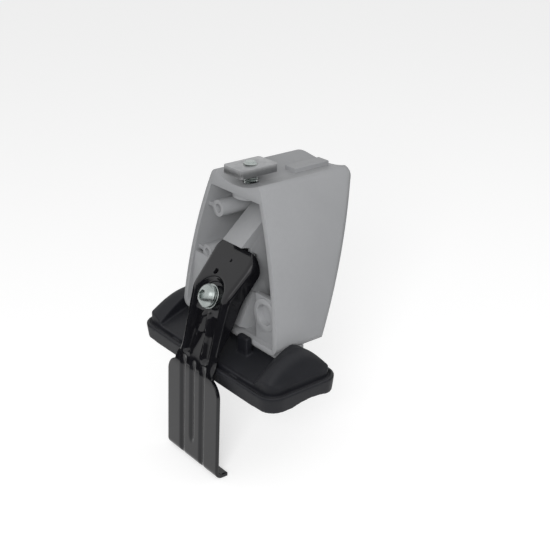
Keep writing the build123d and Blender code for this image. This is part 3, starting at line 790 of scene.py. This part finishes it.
@dataclass
class Station:
    """One row of the bracket's sheet, on its front line."""

    place: Vector
    inward: Vector
    squareness: float
    plate_z: float
    across: float = 0.0
    floor: float = 0.0
    side_floor: float = 0.0
    flange: float = 0.0


@dataclass
class Bracket:
    """Clamp bracket pressed from one sheet: hook, grooved plate, dished channel and leaning head."""

    sheet: float = 2.4
    rim: float = 0.4
    plate_x: float = -32.05
    plate_half: float = 26.0
    plate_bottom: float = -58.3
    plate_top: float = 5.0
    plate_corner: float = 10.5
    plate_lean: float = 2.8
    hook_reach: float = 8.9
    hook_bend: float = 4.9
    start_z: float = 3.0
    start_bend: float = 22.0
    knee: Point = (-18.877, 50.5)
    knee_bend: float = 10.0
    tip: Point = (3.397, 72.774)
    tip_shares: Sequence[float] = (0.3, 0.55, 0.75, 0.9, 0.97, 1.0)
    half_widths: Triple = (16.25, 17.2, 20.0)
    head_corners: Point = (8.0, 4.5)
    nose: Point = (1.8, 11.0)
    turn_after: float = 12.0
    turn_half: float = 13.0
    fold: float = 3.4
    fold_range: Point = (2.0, 15.0)
    fold_gap: float = 0.8
    least_fold: float = 1e-3
    least_strip: float = 0.5
    strip_blend: float = 0.6
    rear: Sequence[Point] = ((12.5, 2.4), (33.9, 10.0), (50.5, 13.0))
    rear_rows: int = 3
    seat: Point = SEAT
    seat_tilt: float = SEAT_TILT
    dish: Point = (10.0, 40.0)
    trough_start: float = 2.0
    trough_half: float = 11.4
    trough_wall: float = 1.6
    trough_bend: Point = (26.0, 4.3)
    side_bend: Point = (12.5, 2.9)
    floor_starts: Point = (2.5, 6.4)
    floor_blend: float = 0.5
    floor_step: float = 0.8
    ridge_low: Point = (6.6, 8.0)
    ridge_high: Point = (2.2, 37.0)
    ridge_half: float = 3.0
    ridge_height: float = 2.8
    ridge_sink: float = 0.8
    ridge_end: Point = (-12.5, -8.5)
    groove_y: float = 10.0
    groove_half: float = 3.1
    groove_depth: float = 1.3
    groove_gap: float = 14.0
    groove_taper: float = 0.45
    groove_fade: Point = (4.0, 13.0)
    back_wall: float = 1.3
    back_grow: float = 1.2
    back_ridge: float = 0.3
    back_groove: float = 0.8
    blend: float = 0.3
    slot: Point = (4.5, 2.0)
    slot_lip: float = 0.35
    head_holes: Sequence[Triple] = ((4.7, 12.8, 1.7), (-1.1, 22.3, 0.8))
    hole_lip: float = 0.25
    step: float = 0.7
    flat_steps: int = 22
    fold_steps: int = 8
    rim_steps: int = 3
    shade_angle: float = 40.0

    def __post_init__(self) -> None:
        """Work out the turns of a rounded rim and the directions of the bolt, the channel and the head."""
        self.rim_turns = [math.radians(90.0 / self.rim_steps * number) for number in range(self.rim_steps + 1)]
        tilt = math.radians(self.seat_tilt)
        self.start = Vector((self.plate_x, self.start_z))
        self.bolt_out = Vector((-math.cos(tilt), math.sin(tilt)))
        self.bolt_across = Vector((math.sin(tilt), math.cos(tilt)))
        self.lean = (Vector(self.knee) - self.start).normalized()
        self.head = (Vector(self.tip) - Vector(self.knee)).normalized()

    def build(self, shop: Workshop) -> None:
        """Build the pressing and cut its holes.

        Args:
            shop: Workshop that finishes it.
        """
        stations = self._stations()
        loops = self._rim_loops(stations[0], stations[1])[::-1]
        loops += [self._loop(station, 0.0) for station in stations[1:-1]]
        loops += self._rim_loops(stations[-1], stations[-2])
        pressing = self._skin(loops)
        self._cut(pressing)
        shade(pressing, self.shade_angle)
        shop.hand_over(pressing, GLOSS_BLACK, Body.BRACKET, "clamp_bracket")

    def _behind(self, z: float, depth: float) -> Vector:
        """Return the point at a depth square to the channel's leaning front line."""
        front = self.start + self.lean * ((z - self.start_z) / self.lean.y)
        return front + Vector((self.lean.y, -self.lean.x)) * depth

    def _leaned(self, x: float, z: float) -> Point:
        """Lean a point with the plate.

        Args:
            x: X of the point on the upright plate.
            z: Z of the point on the upright plate.

        Returns:
            X and Z of the point on the leaning plate.
        """
        lean = math.radians(self.plate_lean)
        dx = x - self.plate_x
        dz = z - self.start_z
        return (self.plate_x + dx * math.cos(lean) + dz * math.sin(lean),
                self.start_z - dx * math.sin(lean) + dz * math.cos(lean))

    def _stations(self) -> list[Station]:
        """Lay out the rows of the sheet.

        Returns:
            Rows from the hook's lip to the head's tip.
        """
        line = rounded_line((
            (*self._leaned(self.plate_x + self.hook_reach, self.plate_bottom), 0.0),
            (*self._leaned(self.plate_x, self.plate_bottom), self.hook_bend),
            (self.plate_x, self.start_z, self.start_bend), (*self.knee, self.knee_bend), (*self.tip, 0.0)),
            self.step)
        line[-1:] = [line[-2].lerp(line[-1], share) for share in self.tip_shares]
        lengths = [0.0]
        for first, last in zip(line, line[1:]):
            lengths.append(lengths[-1] + (last - first).length)
        start, bend = (min(((place - corner).length, length) for place, length in zip(line, lengths))[1]
                       for corner in (self.start, Vector(self.knee)))
        seat = Vector(self.seat)
        floor = [Vector((self.plate_x, self.start_z + self.floor_starts[0])), self._behind(*self.trough_bend),
                 seat - self.bolt_across * self.dish[0], seat + self.bolt_across * self.dish[1]]
        side = [Vector((self.plate_x, self.start_z + self.floor_starts[1])), self._behind(*self.side_bend),
                *floor[1:]]
        rear = [self._behind(z, depth) for z, depth in self.rear]
        rear += [Vector(self.tip) + Vector((self.nose[0], rise)) for rise in (-self.nose[1], self.nose[0])]
        stations = []
        for index, (place, length) in enumerate(zip(line, lengths)):
            way = (line[min(index + 1, len(line) - 1)] - line[max(index - 1, 0)]).normalized()
            square = inward = Vector((way.y, -way.x))
            if length > start + self.turn_after:
                turned = self.lean.slerp(self.head, clamp((length - bend + self.turn_half) / (2.0 * self.turn_half)))
                inward = Vector((turned.y, -turned.x))
            station = Station(place, inward, inward.dot(square), self.start_z + length - start)
            station.across = (place - seat).dot(self.bolt_across)
            if station.plate_z > self.start_z + self.trough_start:
                station.floor = soft_max(0.0, ray_depth(place, inward, floor), self.floor_blend)
                station.side_floor = soft_max(0.0, ray_depth(place, inward, side), self.floor_blend)
            if place.y > self.rear[0][0]:
                station.flange = ray_depth(place, inward, rear)
            stations.append(station)
        stations[-1].flange = math.hypot(self.nose[0], self.nose[0])
        flanges = [station.flange for station in stations]
        for index, station in enumerate(stations[:-self.rear_rows - 1]):
            near = flanges[max(0, index - self.rear_rows):index + self.rear_rows + 1]
            station.flange = min(station.flange, sum(near) / len(near))
        return stations

    def _section(self, station: Station, corner: float) -> tuple[float, float, float, float]:
        """Work out the outline of one side of a row.

        Args:
            station: Row to draw.
            corner: Radius of the head's corner on that side.

        Returns:
            Flat half width, fold radius, fold angle and length of the strip past the fold.
        """
        z = station.place.y
        low, knee, top = self.half_widths
        if z < self.knee[1]:
            width = mix(low, knee, max(0.0, (z - self.start_z) / (self.knee[1] - self.start_z)))
        else:
            width = mix(knee, top, (z - self.knee[1]) / (self.tip[1] - self.knee[1]))
        width -= rounded_off(corner, z - self.tip[1] + corner)
        fold = min(self.fold, station.flange - self.fold_gap) if z > self.knee[1] else self.fold
        first, last = self.fold_range
        angle = max(self.least_fold, math.radians(90.0) * smooth(self.start_z + first, self.start_z + last, z))
        plate = self.plate_half - rounded_off(self.plate_corner, station.plate_z - self.plate_top + self.plate_corner)
        strip = plate - (width - fold) - fold * math.pi / 2.0 if z < self.knee[1] else 0.0
        strip = soft_max(strip, station.flange - fold, self.strip_blend)
        return width - fold, fold, angle, soft_max(self.least_strip, strip, self.blend)

    def _mask(self, station: Station, y: float, half: float, wall: float) -> float:
        """Return 1 inside the dished trough, 0 outside it, with a sloping wall between."""
        off = abs(y) if station.across < 0.0 else math.hypot(y, station.across)
        return 1.0 - smooth(half - wall, half + wall, off)

    def _pressed(self, station: Station, y: float) -> float:
        """Measure the plate's grooves.

        Args:
            station: Row to measure in.
            y: Distance from the middle.

        Returns:
            Depth of the grooves at that place.
        """
        depth = 0.0
        for middle in (0.0, self.groove_y):
            low = self.plate_bottom + self.hook_bend + (0.0 if middle else self.groove_gap)
            off = math.hypot(abs(y) - middle, self.groove_taper * min(0.0, station.plate_z - low))
            depth = max(depth, hump(off, self.groove_half))
        return self.groove_depth * depth * (1.0 - smooth(*self.groove_fade, station.plate_z))

    def _ridge_line(self, station: Station) -> float:
        """Return how far the trough's two ridges stand from the middle; they close in upwards."""
        (low_y, low_z), (high_y, high_z) = self.ridge_low, self.ridge_high
        return mix(low_y, high_y, clamp((station.place.y - low_z) / (high_z - low_z)))

    def _ridge(self, station: Station, y: float) -> float:
        """Measure the trough's ridges.

        Args:
            station: Row to measure in.
            y: Distance from the middle.

        Returns:
            Height of the ridges at that place.
        """
        height = min(self.ridge_height, max(0.0, self._trough(station, y) - self.ridge_sink))
        height *= 1.0 - smooth(*self.ridge_end, station.across)
        return height * hump(abs(abs(y) - self._ridge_line(station)), self.ridge_half)

    def _trough(self, station: Station, y: float) -> float:
        """Return the depth of the trough's floor, between its ridges or beside them."""
        line = self._ridge_line(station)
        share = smooth(line - self.floor_step, line + self.floor_step, abs(y))
        return mix(station.floor, station.side_floor, share)

    def _front(self, station: Station, y: float) -> float:
        """Return the depth of the front skin at a place."""
        trough = self._trough(station, y) * self._mask(station, y, self.trough_half, self.trough_wall)
        return soft_max(self._pressed(station, y), trough - self._ridge(station, y), self.blend)

    def _back(self, station: Station, y: float, flat: float) -> float:
        """Measure the back skin.

        Args:
            station: Row to measure in.
            y: Distance from the middle.
            flat: Half width of the row's flat part.

        Returns:
            Depth of the back skin at that place.
        """
        half = min(self.trough_half + self.back_grow, flat - self.back_wall)
        trough = self._trough(station, y) * self._mask(station, y, half, self.back_wall)
        trough -= self.back_ridge * self._ridge(station, y)
        groove = self.back_groove * self._pressed(station, y)
        return self.sheet / station.squareness + soft_max(groove, trough, self.blend)

    def _half(self, station: Station, inset: float, corner: float) -> tuple[list[Point], list[Point]]:
        """Return one side of a row.

        Args:
            station: Row to draw.
            inset: How far the row is drawn in from the sheet's skins and sides.
            corner: Radius of the head's corner on that side.

        Returns:
            Points of the front and of the back skin, as distance from the middle and depth.
        """
        flat, fold, angle, strip = self._section(station, corner)
        front = []
        back = []
        for number in range(self.flat_steps + 1):
            y = flat * number / self.flat_steps
            front.append((y, self._front(station, y) + inset))
            back.append((y, self._back(station, y, flat) - inset))
        length = fold * math.pi / 2.0
        bend = length / angle
        steps = range(1, self.fold_steps + 1)
        skins = [(length * number / self.fold_steps, 0.0) for number in steps]
        skins += [(length, (strip - inset - self.rim) * number / self.fold_steps) for number in steps]
        for arc, run in skins:
            turned = angle * arc / length
            y = flat + bend * math.sin(turned) + run * math.cos(angle)
            depth = bend * (1.0 - math.cos(turned)) + run * math.sin(angle)
            for skin, into in ((front, inset), (back, self.sheet - inset)):
                skin.append((y - into * math.sin(turned), depth + into * math.cos(turned)))
        edge = min(self.rim, self.sheet / 2.0 - inset)
        for turned in self.rim_turns[1:]:
            run = edge * math.sin(turned)
            sink = edge * (1.0 - math.cos(turned))
            for skin, into in ((front, inset + sink), (back, self.sheet - inset - sink)):
                skin.append((y + run * math.cos(angle) - into * math.sin(angle),
                             depth + run * math.sin(angle) + into * math.cos(angle)))
        return front, back

    def _loop(self, station: Station, inset: float) -> list[Vector]:
        """Draw a closed row of points around the sheet.

        Args:
            station: Row to draw.
            inset: How far the row is drawn in.

        Returns:
            Points in space, in millimetres.
        """
        near_front, near_back = self._half(station, inset, self.head_corners[0])
        far_front, far_back = self._half(station, inset, self.head_corners[1])
        row = [(-y, depth) for y, depth in reversed(near_front[1:])] + far_front
        row += list(reversed(far_back)) + [(-y, depth) for y, depth in near_back[1:]]
        return [Vector((station.place.x + station.inward.x * depth, y,
                        station.place.y + station.inward.y * depth)) for y, depth in row]

    def _rim_loops(self, end: Station, inner: Station) -> list[list[Vector]]:
        """Round the edge at one end of the sheet.

        Args:
            end: Row at that end.
            inner: Row next to it.

        Returns:
            Points of the rows that take the end row's place, the outermost last.
        """
        outward = (end.place - inner.place).normalized()
        loops = []
        for turned in self.rim_turns:
            place = end.place - outward * self.rim * (1.0 - math.sin(turned))
            loops.append(self._loop(replace(end, place=place), self.rim * (1.0 - math.cos(turned))))
        return loops

    def _skin(self, loops: list[list[Vector]]) -> Object:
        """Join the rows into one closed skin.

        Args:
            loops: Points of each row.

        Returns:
            The pressing before its holes are cut.
        """
        count = len(loops[0])
        faces = skin_faces(len(loops), count)
        for first in (0, (len(loops) - 1) * count):
            faces += [(first + column, first + column + 1, first + count - 2 - column, first + count - 1 - column)
                      for column in range(count // 2 - 1)]
        return mesh_from("bracket_pressing", [point for loop in loops for point in loop], faces)

    def _cut(self, pressing: Object) -> None:
        """Cut the bolt's slot and the head's two small holes.

        Args:
            pressing: Pressing to cut.
        """
        radius, half = self.slot
        cutters = [hole_cutter(in_space(self.seat), in_space(self.bolt_out), in_space(self.bolt_across) * half,
                               radius, self.sheet, self.slot_lip)]
        outward = Vector((-self.head.y, 0.0, self.head.x))
        for y, rise, hole in self.head_holes:
            place = in_space(Vector(self.knee) + self.head * rise, y)
            cutters.append(hole_cutter(place, outward, Vector(), hole, self.sheet, self.hole_lip))
        combine(pressing, cutters, "DIFFERENCE")


class ThreadCoil:
    """Geometry nodes that wind a screw thread, one turn per pitch."""

    # Steps of one turn, sides of the thread's section, and its radius as a share of the pitch
    STEPS, SIDES, DEPTH = 40, 4, 0.48

    def __init__(self) -> None:
        """Build the node tree."""
        self.tree = bpy.data.node_groups.new("thread_coil", "GeometryNodeTree")
        self.sockets = {}
        for label in ("Turns", "Pitch", "Radius", "Depth", "Finish"):
            kind = "NodeSocketMaterial" if label == "Finish" else "NodeSocketFloat"
            socket = self.tree.interface.new_socket(label, in_out="INPUT", socket_type=kind)
            self.sockets[label] = socket.identifier
        self.tree.interface.new_socket("Coil", in_out="OUTPUT", socket_type="NodeSocketGeometry")
        board = NodeBoard(self.tree)
        given = board.add("NodeGroupInput").outputs
        rise = board.math("MULTIPLY", given["Turns"], given["Pitch"])
        spiral = board.add("GeometryNodeCurveSpiral", Resolution=self.STEPS, Rotations=given["Turns"],
                           Start_Radius=given["Radius"], End_Radius=given["Radius"], Height=rise)
        upright = board.add("GeometryNodeSetCurveNormal", {"mode": "Z_UP"}, Curve=spiral.outputs[0])
        profile = board.add("GeometryNodeCurvePrimitiveCircle", Resolution=self.SIDES, Radius=given["Depth"])
        swept = board.add("GeometryNodeCurveToMesh", Curve=upright.outputs[0],
                          Profile_Curve=profile.outputs[0], Fill_Caps=True)
        solid = board.add("GeometryNodeRealizeInstances", Geometry=swept.outputs[0])
        dressed = board.add("GeometryNodeSetMaterial", Geometry=solid.outputs[0], Material=given["Finish"])
        board.add("NodeGroupOutput", Coil=dressed.outputs[0])

    def wind(self, length: float, pitch: float, outer: float, finish: Material) -> Object:
        """Wind a thread upward from the origin.

        Args:
            length: Length of the thread in millimetres.
            pitch: Rise of one turn in millimetres.
            outer: Radius over the crests in millimetres.
            finish: Material to give it.

        Returns:
            The coil as a plain mesh object.
        """
        coil = new_object("coil", bpy.data.meshes.new("coil"))
        nodes = coil.modifiers.new("thread", "NODES")
        nodes.node_group = self.tree
        depth = self.DEPTH * pitch
        for label, value in (("Turns", length / pitch), ("Pitch", pitch * MM), ("Radius", (outer - depth) * MM),
                             ("Depth", depth * MM), ("Finish", finish)):
            nodes[self.sockets[label]] = value
        settle(coil)
        weld(coil.data, COIL_GAP)
        return coil


def lathe(name: str, corners: Sequence[Triple], ring: bool = False) -> Object:
    """Turn a piece about the Z axis.

    Args:
        name: Name of the piece.
        corners: Radius, height and rounding of the outline's corners in millimetres.
        ring: Whether the outline closes on itself around a hole.

    Returns:
        The closed piece.
    """
    outline = rounded_line(corners, LATHE_STEP)
    if ring:
        outline = outline[:-1]
    rings = [[Vector((point.x * across, point.x * up, point.y)) for across, up in spokes(LATHE_SPOKES)]
             for point in outline]
    return tube_from(name, rings, ring)


@dataclass
class Screw:
    """One M8 screw, drawn upright with the underside of its head at the origin and its head upward."""

    name: str
    node: str
    body: Body
    head: Sequence[Triple]
    socket: Point
    length: float
    place: Matrix
    radius: float = 3.97
    core: float = 3.35
    pitch: float = 1.25
    neck: float = 2.5
    run_out: float = 0.5
    tip_inset: float = 0.75
    tip_rise: float = 0.8
    across_flats: float = 5.0
    drill_point: Point = (0.7, 0.4)
    mouth: Point = (0.25, 0.45)
    clearance: float = 3.0
    shade_angle: float = 35.0

    def build(self, shop: Workshop, coil: ThreadCoil) -> None:
        """Turn the screw, wind its thread and cut its hexagon socket.

        Args:
            shop: Workshop that finishes it.
            coil: Node tree that winds the thread.
        """
        low = -self.length
        screw = lathe(self.name, (
            (0.0, low, 0.0), (self.core - self.tip_inset, low, 0.15), (self.core, low + self.tip_rise, 0.3),
            (self.core, -self.neck - self.run_out, 0.3), (self.radius, -self.neck, 0.2), (self.radius, 0.0, 0.25),
            *self.head))
        wound = self.length - self.neck - 2.0 * self.tip_rise
        thread = coil.wind(wound, self.pitch, self.radius, shop.materials[BRIGHT_ZINC])
        thread.data.transform(Matrix.Translation(Vector((0.0, 0.0, low + self.tip_rise)) * MM))
        combine(screw, [thread], "UNION")
        floor, top = self.socket
        wide = self.across_flats / math.sqrt(3.0)
        bevel, grow = self.mouth
        levels = ((floor - self.drill_point[0], self.drill_point[1]), (floor, wide), (top - bevel, wide),
                  (top + bevel, wide + grow), (top + self.clearance, wide + grow))
        rings = [[Vector((reach * across, reach * up, level)) for across, up in spokes(6)]
                 for level, reach in levels]
        combine(screw, [tube_from("cutter", rings)], "DIFFERENCE")
        screw.data.transform(self.place)
        shade(screw, self.shade_angle)
        shop.hand_over(screw, BRIGHT_ZINC, self.body, self.node)


def dome(radius: float, height: float, rim: float = 0.25, steps: int = 14) -> list[Triple]:
    """Return the outline of a button head, from its rim up to the axis.

    Args:
        radius: Radius of the rim in millimetres.
        height: Height of the dome in millimetres.
        rim: Size of the bevel under the rim in millimetres.
        steps: Steps of the dome's arc.

    Returns:
        Corners with their rounding, for the lathe.
    """
    ball = (radius ** 2 + height ** 2) / (2.0 * height)
    spread = math.asin(radius / ball)
    corners = [(radius - rim, 0.0, 0.1), (radius, rim, 0.1)]
    for number in range(1, steps + 1):
        along = spread * (1.0 - number / steps)
        corners.append((ball * math.sin(along), height - ball + ball * math.cos(along), 0.0))
    return corners


def upright_to(place: Vector, upward: Vector) -> Matrix:
    """Return the matrix that carries a piece drawn upright at the origin to a place and direction.

    Args:
        place: Where its origin goes, in millimetres.
        upward: Where its Z axis points.

    Returns:
        The matrix, for meshes in metres.
    """
    side = Vector((0.0, 1.0, 0.0))
    along = upward.normalized()
    turn = Matrix((side, along.cross(side), along)).transposed().to_4x4()
    return Matrix.Translation(place * MM) @ turn


@dataclass
class Fasteners:
    """Screws, washers, nut, slider and bearing plate."""

    seat: Point = SEAT
    tilt: float = SEAT_TILT
    washer: float = 6.0
    clamp_head: Point = (7.0, 4.4)
    clamp_socket: Point = (1.8, 4.0)
    clamp_length: float = 40.0
    bar_place: Triple = (12.5, 0.0, 106.9)
    bar_head: Sequence[Triple] = ((6.5, 0.0, 0.3), (6.5, 4.4, 0.7), (0.0, 4.4, 0.0))
    bar_socket: Point = (2.2, 4.4)
    bar_length: float = 15.8
    collar: Sequence[Triple] = (
        (4.5, 3.0, 0.0), (4.5, 0.0, 0.3), (6.5, 0.0, 0.4), (6.5, 2.4, 0.35), (7.5, 2.4, 0.45), (7.5, 4.0, 0.5),
        (5.8, 4.0, 0.35), (5.8, 6.0, 0.3), (4.5, 6.0, 0.3), (4.5, 3.0, 0.0))
    shade_angle: float = 40.0
    edge_round: float = 0.3
    edge_angle: float = 30.0

    def build(self, shop: Workshop) -> None:
        """Build every fastener.

        Args:
            shop: Workshop that finishes them.
        """
        tilt = math.radians(self.tilt)
        out = Vector((-math.cos(tilt), 0.0, math.sin(tilt)))
        seat = in_space(self.seat)
        coil = ThreadCoil()
        Screw("clamp_screw", "clamp_bolt", Body.BOLT, dome(*self.clamp_head), self.clamp_socket, self.clamp_length,
              upright_to(seat + out * self.washer, out)).build(shop, coil)
        Screw("bar_screw", "bar_bolt", Body.BAR_BOLT, self.bar_head, self.bar_socket, self.bar_length,
              upright_to(Vector(self.bar_place), Vector((0.0, 0.0, -1.0)))).build(shop, coil)
        collar = lathe("clamp_collar_washer", self.collar, ring=True)
        collar.data.transform(upright_to(seat, out))
        shade(collar, self.shade_angle)
        shop.hand_over(collar, BRIGHT_ZINC, Body.WASHER, "clamp_washer")
        for node, body, finish in (
                ("clamp_nut", Body.TOWER, BRIGHT_ZINC), ("bearing_plate", Body.TOWER, PLAIN_STEEL),
                ("bar_washer", Body.TOWER, BRIGHT_ZINC), ("bar_slider", Body.SLIDER, PLAIN_STEEL)):
            piece = node_copy(node, node + "_piece")
            soften(piece, self.edge_round, self.edge_angle)
            shop.hand_over(piece, finish, body, node)


@dataclass(frozen=True)
class SoftBox:
    """One square soft light, in metres and watts."""

    name: str
    place: Triple
    aim: Triple
    size: float
    power: float
    reflected: bool = True

    def hang(self) -> None:
        """Place the light and turn it to its aim."""
        data = bpy.data.lights.new(self.name, "AREA")
        data.shape = "SQUARE"
        data.size = self.size
        data.energy = self.power
        lamp = new_object(self.name, data)
        lamp.visible_glossy = self.reflected
        lamp.location = self.place
        lamp.rotation_euler = (Vector(self.aim) - Vector(self.place)).to_track_quat("-Z", "Y").to_euler()


@dataclass
class Studio:
    """Camera, pale floor and soft light."""

    azimuth: float = -38.5
    elevation: float = 23.7
    eye: Triple = (-323.74, -444.87, 297.20)
    focal_pixels: float = 1030.0
    sensor: float = 36.0
    clip_start: float = 0.01
    floor_gap: float = 0.3
    floor_size: float = 6.0
    floor_glow: float = 0.5
    floor_tone: float = 0.62
    sky_strength: float = 0.55
    wall_tone: float = 0.02
    wall_radius: float = 300.0
    wall_sides: int = 48
    wall_tops: Point = (72.0, 43.0)
    wall_ease: float = 0.3
    lights: Sequence[SoftBox] = (
        SoftBox("key_box", (-0.55, -0.75, 0.95), (0.0, 0.0, 0.05), 0.7, 2.2),
        SoftBox("side_box", (0.9, -0.55, 0.5), (0.02, 0.0, 0.06), 0.6, 0.8),
        SoftBox("fill_box", (-0.70, -0.72, 0.50), (0.0, 0.0, 0.06), 0.4, 7.6, reflected=False))

    def __post_init__(self) -> None:
        """Find the level of the object's lowest point in millimetres."""
        self.ground = cad_box[0][2] / MM

    def build(self) -> None:
        """Place the camera, the floor, the dark surround and the light."""
        self._camera()
        self._floor()
        self._surround()
        self._sky()
        for light in self.lights:
            light.hang()
        bpy.context.scene.view_settings.view_transform = "Standard"

    def _camera(self) -> None:
        """Place the camera at the photograph's viewing angle."""
        data = bpy.data.cameras.new("photo_camera")
        data.sensor_width = self.sensor
        data.lens = self.focal_pixels / PHOTO_PIXELS * self.sensor
        data.clip_start = self.clip_start
        camera = new_object("photo_camera", data)
        camera.location = Vector(self.eye) * MM
        camera.rotation_euler = (math.radians(90.0 - self.elevation), 0.0, math.radians(self.azimuth))
        bpy.context.scene.camera = camera

    def _floor(self) -> None:
        """Lay a plain pale floor that keeps the soft shadow."""
        level = self.ground - self.floor_gap
        half = self.floor_size / 2 / MM
        corners = [(-half, -half, level), (half, -half, level), (half, half, level), (-half, half, level)]
        floor = mesh_from("floor", corners, [(0, 1, 2, 3)])
        material, board = new_material("pale_floor")
        lit = board.add("ShaderNodeBsdfDiffuse", Color=(self.floor_tone,) * 3 + (1.0,))
        glow = board.add("ShaderNodeEmission", Color=(1.0, 1.0, 1.0, 1.0),
                         Strength=board.math("MULTIPLY", self._seen(board), self.floor_glow))
        both = board.add("ShaderNodeAddShader")
        board.feed(both.inputs[0], lit.outputs[0])
        board.feed(both.inputs[1], glow.outputs[0])
        board.add("ShaderNodeOutputMaterial", Surface=both.outputs[0])
        floor.data.materials.append(material)

    def _surround(self) -> None:
        """Stand a low dark wall around the stage, higher in front, which only shiny surfaces show."""
        corners = []
        for rise in (0.0, 1.0):
            for across, up in spokes(self.wall_sides):
                top = mix(*self.wall_tops, smooth(-self.wall_ease, self.wall_ease, up))
                level = mix(self.ground, top, rise)
                corners.append(Vector((across, up, 0.0)) * self.wall_radius + Vector((0.0, 0.0, level)))
        wall =mesh_from("surround", corners, skin_faces(2, self.wall_sides))
        material, board = new_material("dark_surround")
        cloth = board.add("ShaderNodeBsdfDiffuse", Color=(self.wall_tone,) * 3 + (1.0,))
        board.add("ShaderNodeOutputMaterial", Surface=cloth.outputs[0])
        wall.data.materials.append(material)
        wall.visible_camera = False
        wall.visible_diffuse = False
        wall.visible_shadow = False

    @staticmethod
    def _seen(board: NodeBoard) -> NodeSocket:
        """Tell the rays that show a background from those that only light.

        Args:
            board: Board to add the nodes to.

        Returns:
            A socket that is 1 for camera, glossy and transmission rays, and 0 for the rest.
        """
        path = board.add("ShaderNodeLightPath")
        seen = board.math("MAXIMUM", path.outputs["Is Camera Ray"], path.outputs["Is Glossy Ray"])
        return board.math("MAXIMUM", seen, path.outputs["Is Transmission Ray"])

    def _sky(self) -> None:
        """Light the scene evenly, and show plain white to the camera and to shiny surfaces."""
        world = bpy.data.worlds.new("soft_sky")
        world.use_nodes = True
        board = NodeBoard(world.node_tree)
        strength = board.spread(self._seen(board), 0.0, 1.0, self.sky_strength)
        sky = board.add("ShaderNodeBackground", Color=(1.0, 1.0, 1.0, 1.0), Strength=strength)
        board.add("ShaderNodeOutputWorld", Surface=sky.outputs[0])
        bpy.context.scene.world = world


def main() -> None:
    """Build the studio, then build and dress every sub-assembly."""
    logging.basicConfig(level=logging.INFO, format="%(name)s %(message)s")
    shop = Workshop()
    Studio().build()
    Tower().build(shop)
    Pad().build(shop)
    Bracket().build(shop)
    Fasteners().build(shop)


if __name__ == "__main__":
    main()
